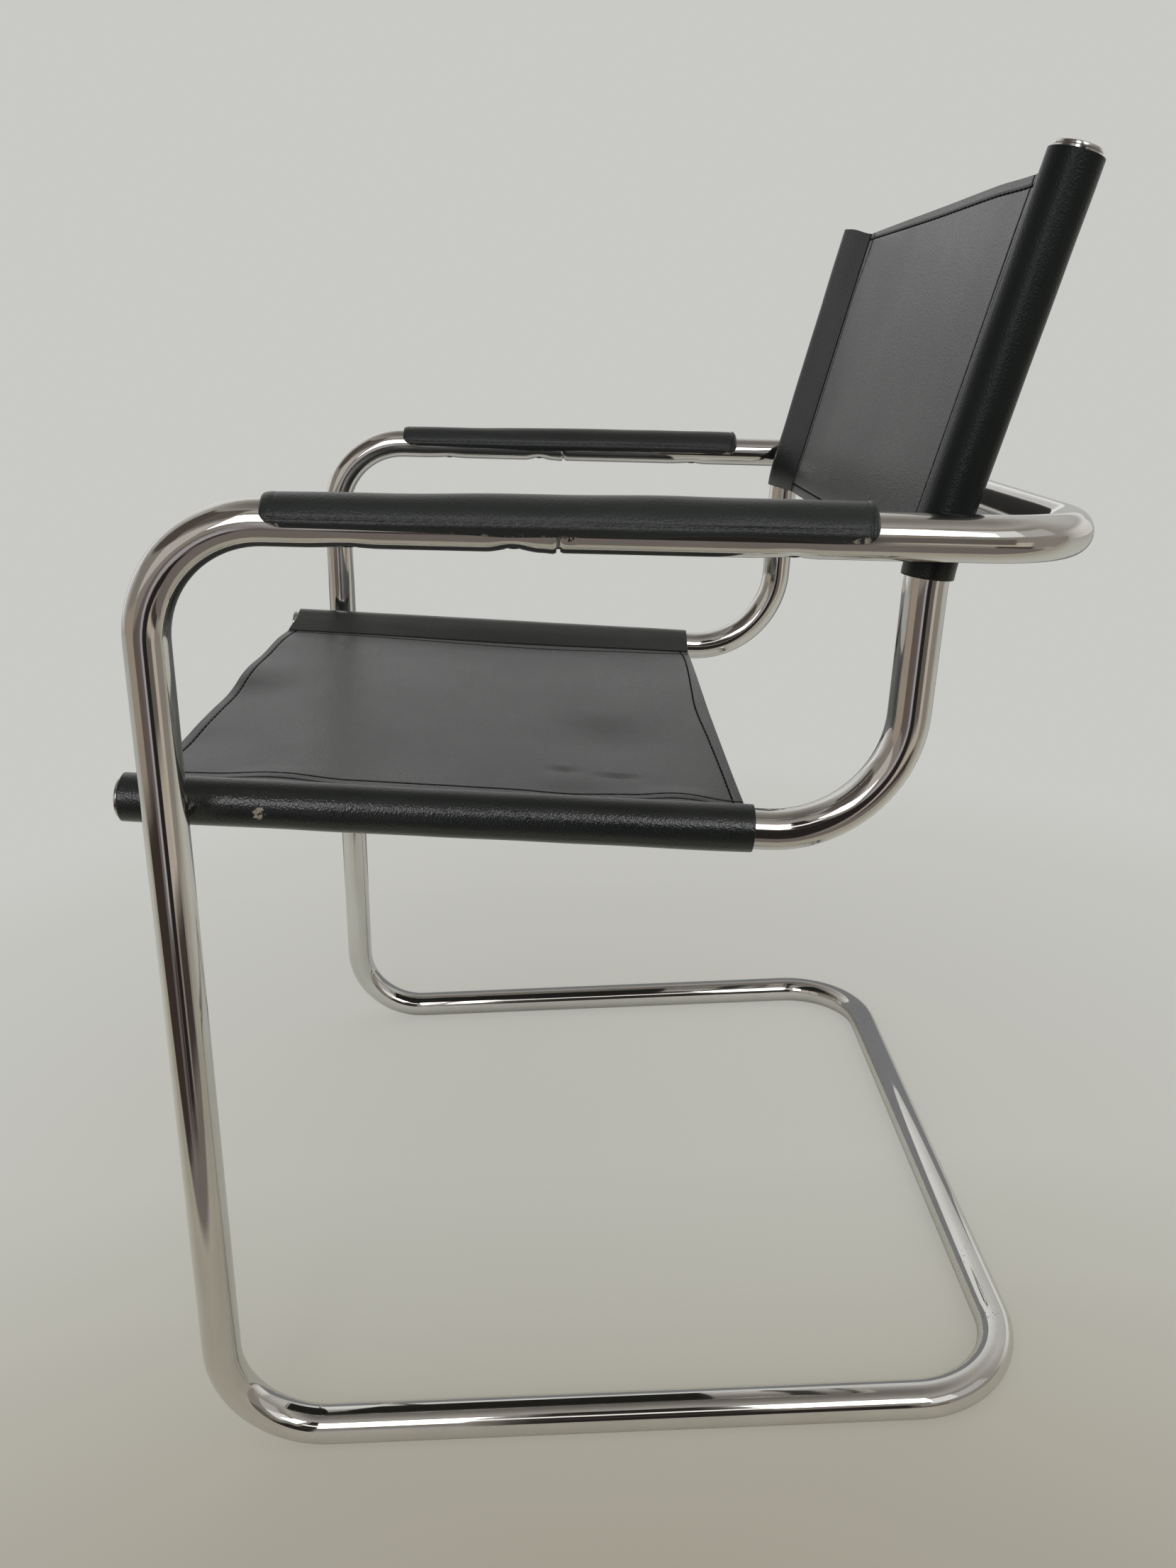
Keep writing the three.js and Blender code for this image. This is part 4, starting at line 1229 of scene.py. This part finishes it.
roomLook = {
    "around": (        # turn and colour
        (-180, (0.66, 0.66, 0.64)), (-160, (0.75, 0.75, 0.73)), (-140, (0.73, 0.73, 0.71)),
        (-120, (0.46, 0.45, 0.43)), (-100, (0.27, 0.25, 0.225)), (-85, (0.24, 0.22, 0.19)),
        (60, (0.26, 0.24, 0.21)), (85, (0.33, 0.31, 0.28)), (115, (0.50, 0.49, 0.46)),
        (150, (0.52, 0.52, 0.50)), (180, (0.66, 0.66, 0.64)),
    ),
    # height, and what the colour around is multiplied by
    "wallShade": ((0, grey(1.3)), (10, (1.46, 1.46, 1.50)), (14, (1.46, 1.46, 1.50)),
                  (17, (1.15, 1.15, 1.18)), (20, grey(0.88)), (26, grey(1.0)), (42, grey(1.0))),
    "wallFrom": (-0.2, 0.1),
    "ceiling": ((52, (0.40, 0.385, 0.355)), (61, (0.31, 0.295, 0.27)), (70, (0.22, 0.205, 0.185)),
                (82, (0.15, 0.14, 0.125))),
    "ceilingHeights": (42, 52), "under": (0.17, 0.145, 0.13),
    "underHeights": (-35.5, -33), "diffuse": (0.78, 0.78, 0.76), "softEdge": 1.3,
    "cards": (        # turn from and to, height from and to, colour
        (-184, -138, -6, 10.5, (0.47, 0.47, 0.46)),
        (138, 184, -6, 10.5, (0.47, 0.47, 0.46)),
        (-102, -52, 27, 60, (0.085, 0.070, 0.060)),
        (-52, -26, 33, 60, (0.115, 0.10, 0.09)),
        (-57, -24, 4, 26, (0.50, 0.47, 0.435)),
        (22, 46, 14, 39, (0.80, 0.79, 0.77)),
        (46, 76, 12, 36, (0.46, 0.45, 0.43)),
        (-90, -49, -17, 3, (0.34, 0.285, 0.225)),
        (-49, -24, -6, 4, (0.25, 0.22, 0.20)),
        (-49, -22, -17, -6, (0.13, 0.105, 0.095)),
        (-84, -24, -34, -17, (0.045, 0.033, 0.028)),
        (-26, -15, -34, -6, (0.14, 0.12, 0.115)),
        (-15, -6, -25, 4, (0.38, 0.36, 0.37)),
        (-15, -6, -34, -25, (0.05, 0.04, 0.04)),
        (14, 36, -19, 4, (0.13, 0.115, 0.10)),
        (15, 36, -26, -19, (0.46, 0.41, 0.34)),
        (36, 52, -26, -9, (0.50, 0.44, 0.36)),
        (52, 90, -26, 4, (0.26, 0.235, 0.21)),
        (15, 22, -34, -26, (0.25, 0.22, 0.19)),
        (22, 56, -34, -26, (0.055, 0.042, 0.037)),
        (68, 92, -34, -26, (0.36, 0.33, 0.29)),
        (-5, 14, -60, 14, (0.022, 0.018, 0.017)),
        (-5, 7, 14, 52, (0.022, 0.018, 0.017)),
        (-9, 9, 27, 33, (1.15, 1.13, 1.08)),
    ),
}


def makeLowCard():        # dusky wall foot behind the chair, seen in the floor frame's chrome alone
    look = stageLook["lowCard"]
    material, tree, _ = newMaterial("duskyCard")
    bm = bmesh.new()
    places = [(look["halfLength"] * end, z) for end, z in zip((-1, 1, 1, -1), look["heights"])]
    bm.faces.new([bm.verts.new((look["x"], *place)) for place in places])
    makeObject("lowCard", bm, (material,))
    glossy = addNode(tree, "LightPath").outputs["Is Glossy Ray"]
    clear = addNode(tree, "BsdfTransparent").outputs["BSDF"]
    shown = addMixShader(tree, glossy, clear, addEmission(tree, look["colour"]))
    wire(tree, tree.nodes["Material Output"], {"Surface": shown})


def addBand(tree, value, low, high):        # 1 between low and high, with soft ends
    soft = roomLook["softEdge"]
    begun = addRange(tree, value, low - soft, low + soft)
    return addProduct(tree, begun, addRange(tree, value, high - soft, high + soft, 1, 0))


def addRoom(tree, direction):
    look = roomLook
    split = splitAxes(tree, direction)
    degrees = math.degrees(1)
    turn = addProduct(tree, addMath(tree, "ARCTAN2", split["Y"], split["X"]), degrees)
    height = addProduct(tree, addMath(tree, "ARCSINE", split["Z"]), degrees)
    shade = addTones(tree, height, look["wallShade"])
    shade = addMix(tree, addRange(tree, split["X"], *look["wallFrom"]), shade, grey(1.0))
    room = addMix(tree, 1, addTones(tree, turn, look["around"]), shade, "MULTIPLY")
    ceiling = addTones(tree, height, look["ceiling"])
    room = addMix(tree, addRange(tree, height, *look["ceilingHeights"]), room, ceiling)
    for turnFrom, turnTo, heightFrom, heightTo, colour in look["cards"]:
        share = addBand(tree, turn, turnFrom, turnTo)
        share = addProduct(tree, share, addBand(tree, height, heightFrom, heightTo))
        room = addMix(tree, share, room, colour)
    return addMix(tree, addRange(tree, height, *look["underHeights"], 1, 0), room, look["under"])


def addBackground(tree, colour):
    return addNode(tree, "Background", Color=colour, Strength=1).outputs["Background"]


def makeWorld():
    world = bpy.data.worlds.new("paleRoom")
    bpy.context.scene.world = world
    world.use_nodes = True
    tree = world.node_tree
    tree.nodes.remove(tree.nodes["Background"])
    rays = addNode(tree, "LightPath").outputs
    mirrored = addBackground(tree, addRoom(tree, addNode(tree, "TexCoord").outputs["Generated"]))
    light = addMixShader(tree, rays["Is Glossy Ray"], addBackground(tree, roomLook["diffuse"]), mirrored)
    backdrop = addBackground(tree, stageLook["backdropColour"])
    shown = addMixShader(tree, directlySeen(tree, rays), light, backdrop)
    wire(tree, tree.nodes["World Output"], {"Surface": shown})


lamps = (
    {"name": "windowRight", "place": (3.29, -0.96, 2.12), "target": (0, -0.96, 2.12), "size": (0.97, 2.01),
     "power": 17.5, "colour": (0.98, 0.99, 1.0), "mirrored": True},
    {"name": "windowLeft", "place": (3.29, 1.02, 2.48), "target": (0, 1.02, 2.48), "size": (1.06, 1.97),
     "power": 18.5, "colour": (0.98, 0.99, 1.0), "mirrored": True},
    {"name": "windowGlow", "place": (2.3, -0.3, 1.75), "target": (0, 0, 0.45), "size": (2.6, 0.45),
     "power": 16, "colour": (1.0, 0.985, 0.96), "mirrored": False},
    {"name": "ceilingGlow", "place": (0.2, -0.2, 2.7), "target": (0, 0, 0.4), "size": (2.4, 2.4),
     "power": 9, "colour": (1.0, 0.99, 0.97), "mirrored": False},
)


def makeLamp(plan):
    data = bpy.data.lights.new(plan["name"], "AREA")
    data.shape = "RECTANGLE"
    data.size, data.size_y = plan["size"]
    data.energy = plan["power"]
    data.color = plan["colour"]
    lamp = bpy.data.objects.new(plan["name"], data)
    lamp.visible_glossy = plan["mirrored"]
    lamp.location = plan["place"]
    lamp.rotation_euler = (Vector(plan["place"]) - Vector(plan["target"])).to_track_quat("Z", "Y").to_euler()
    bpy.context.scene.collection.objects.link(lamp)


makeFloor()
makeLowCard()
makeWorld()
for plan in lamps:
    makeLamp(plan)
bpy.context.scene.view_settings.view_transform = "Standard"
print("stage set")

bpy.context.view_layer.update()
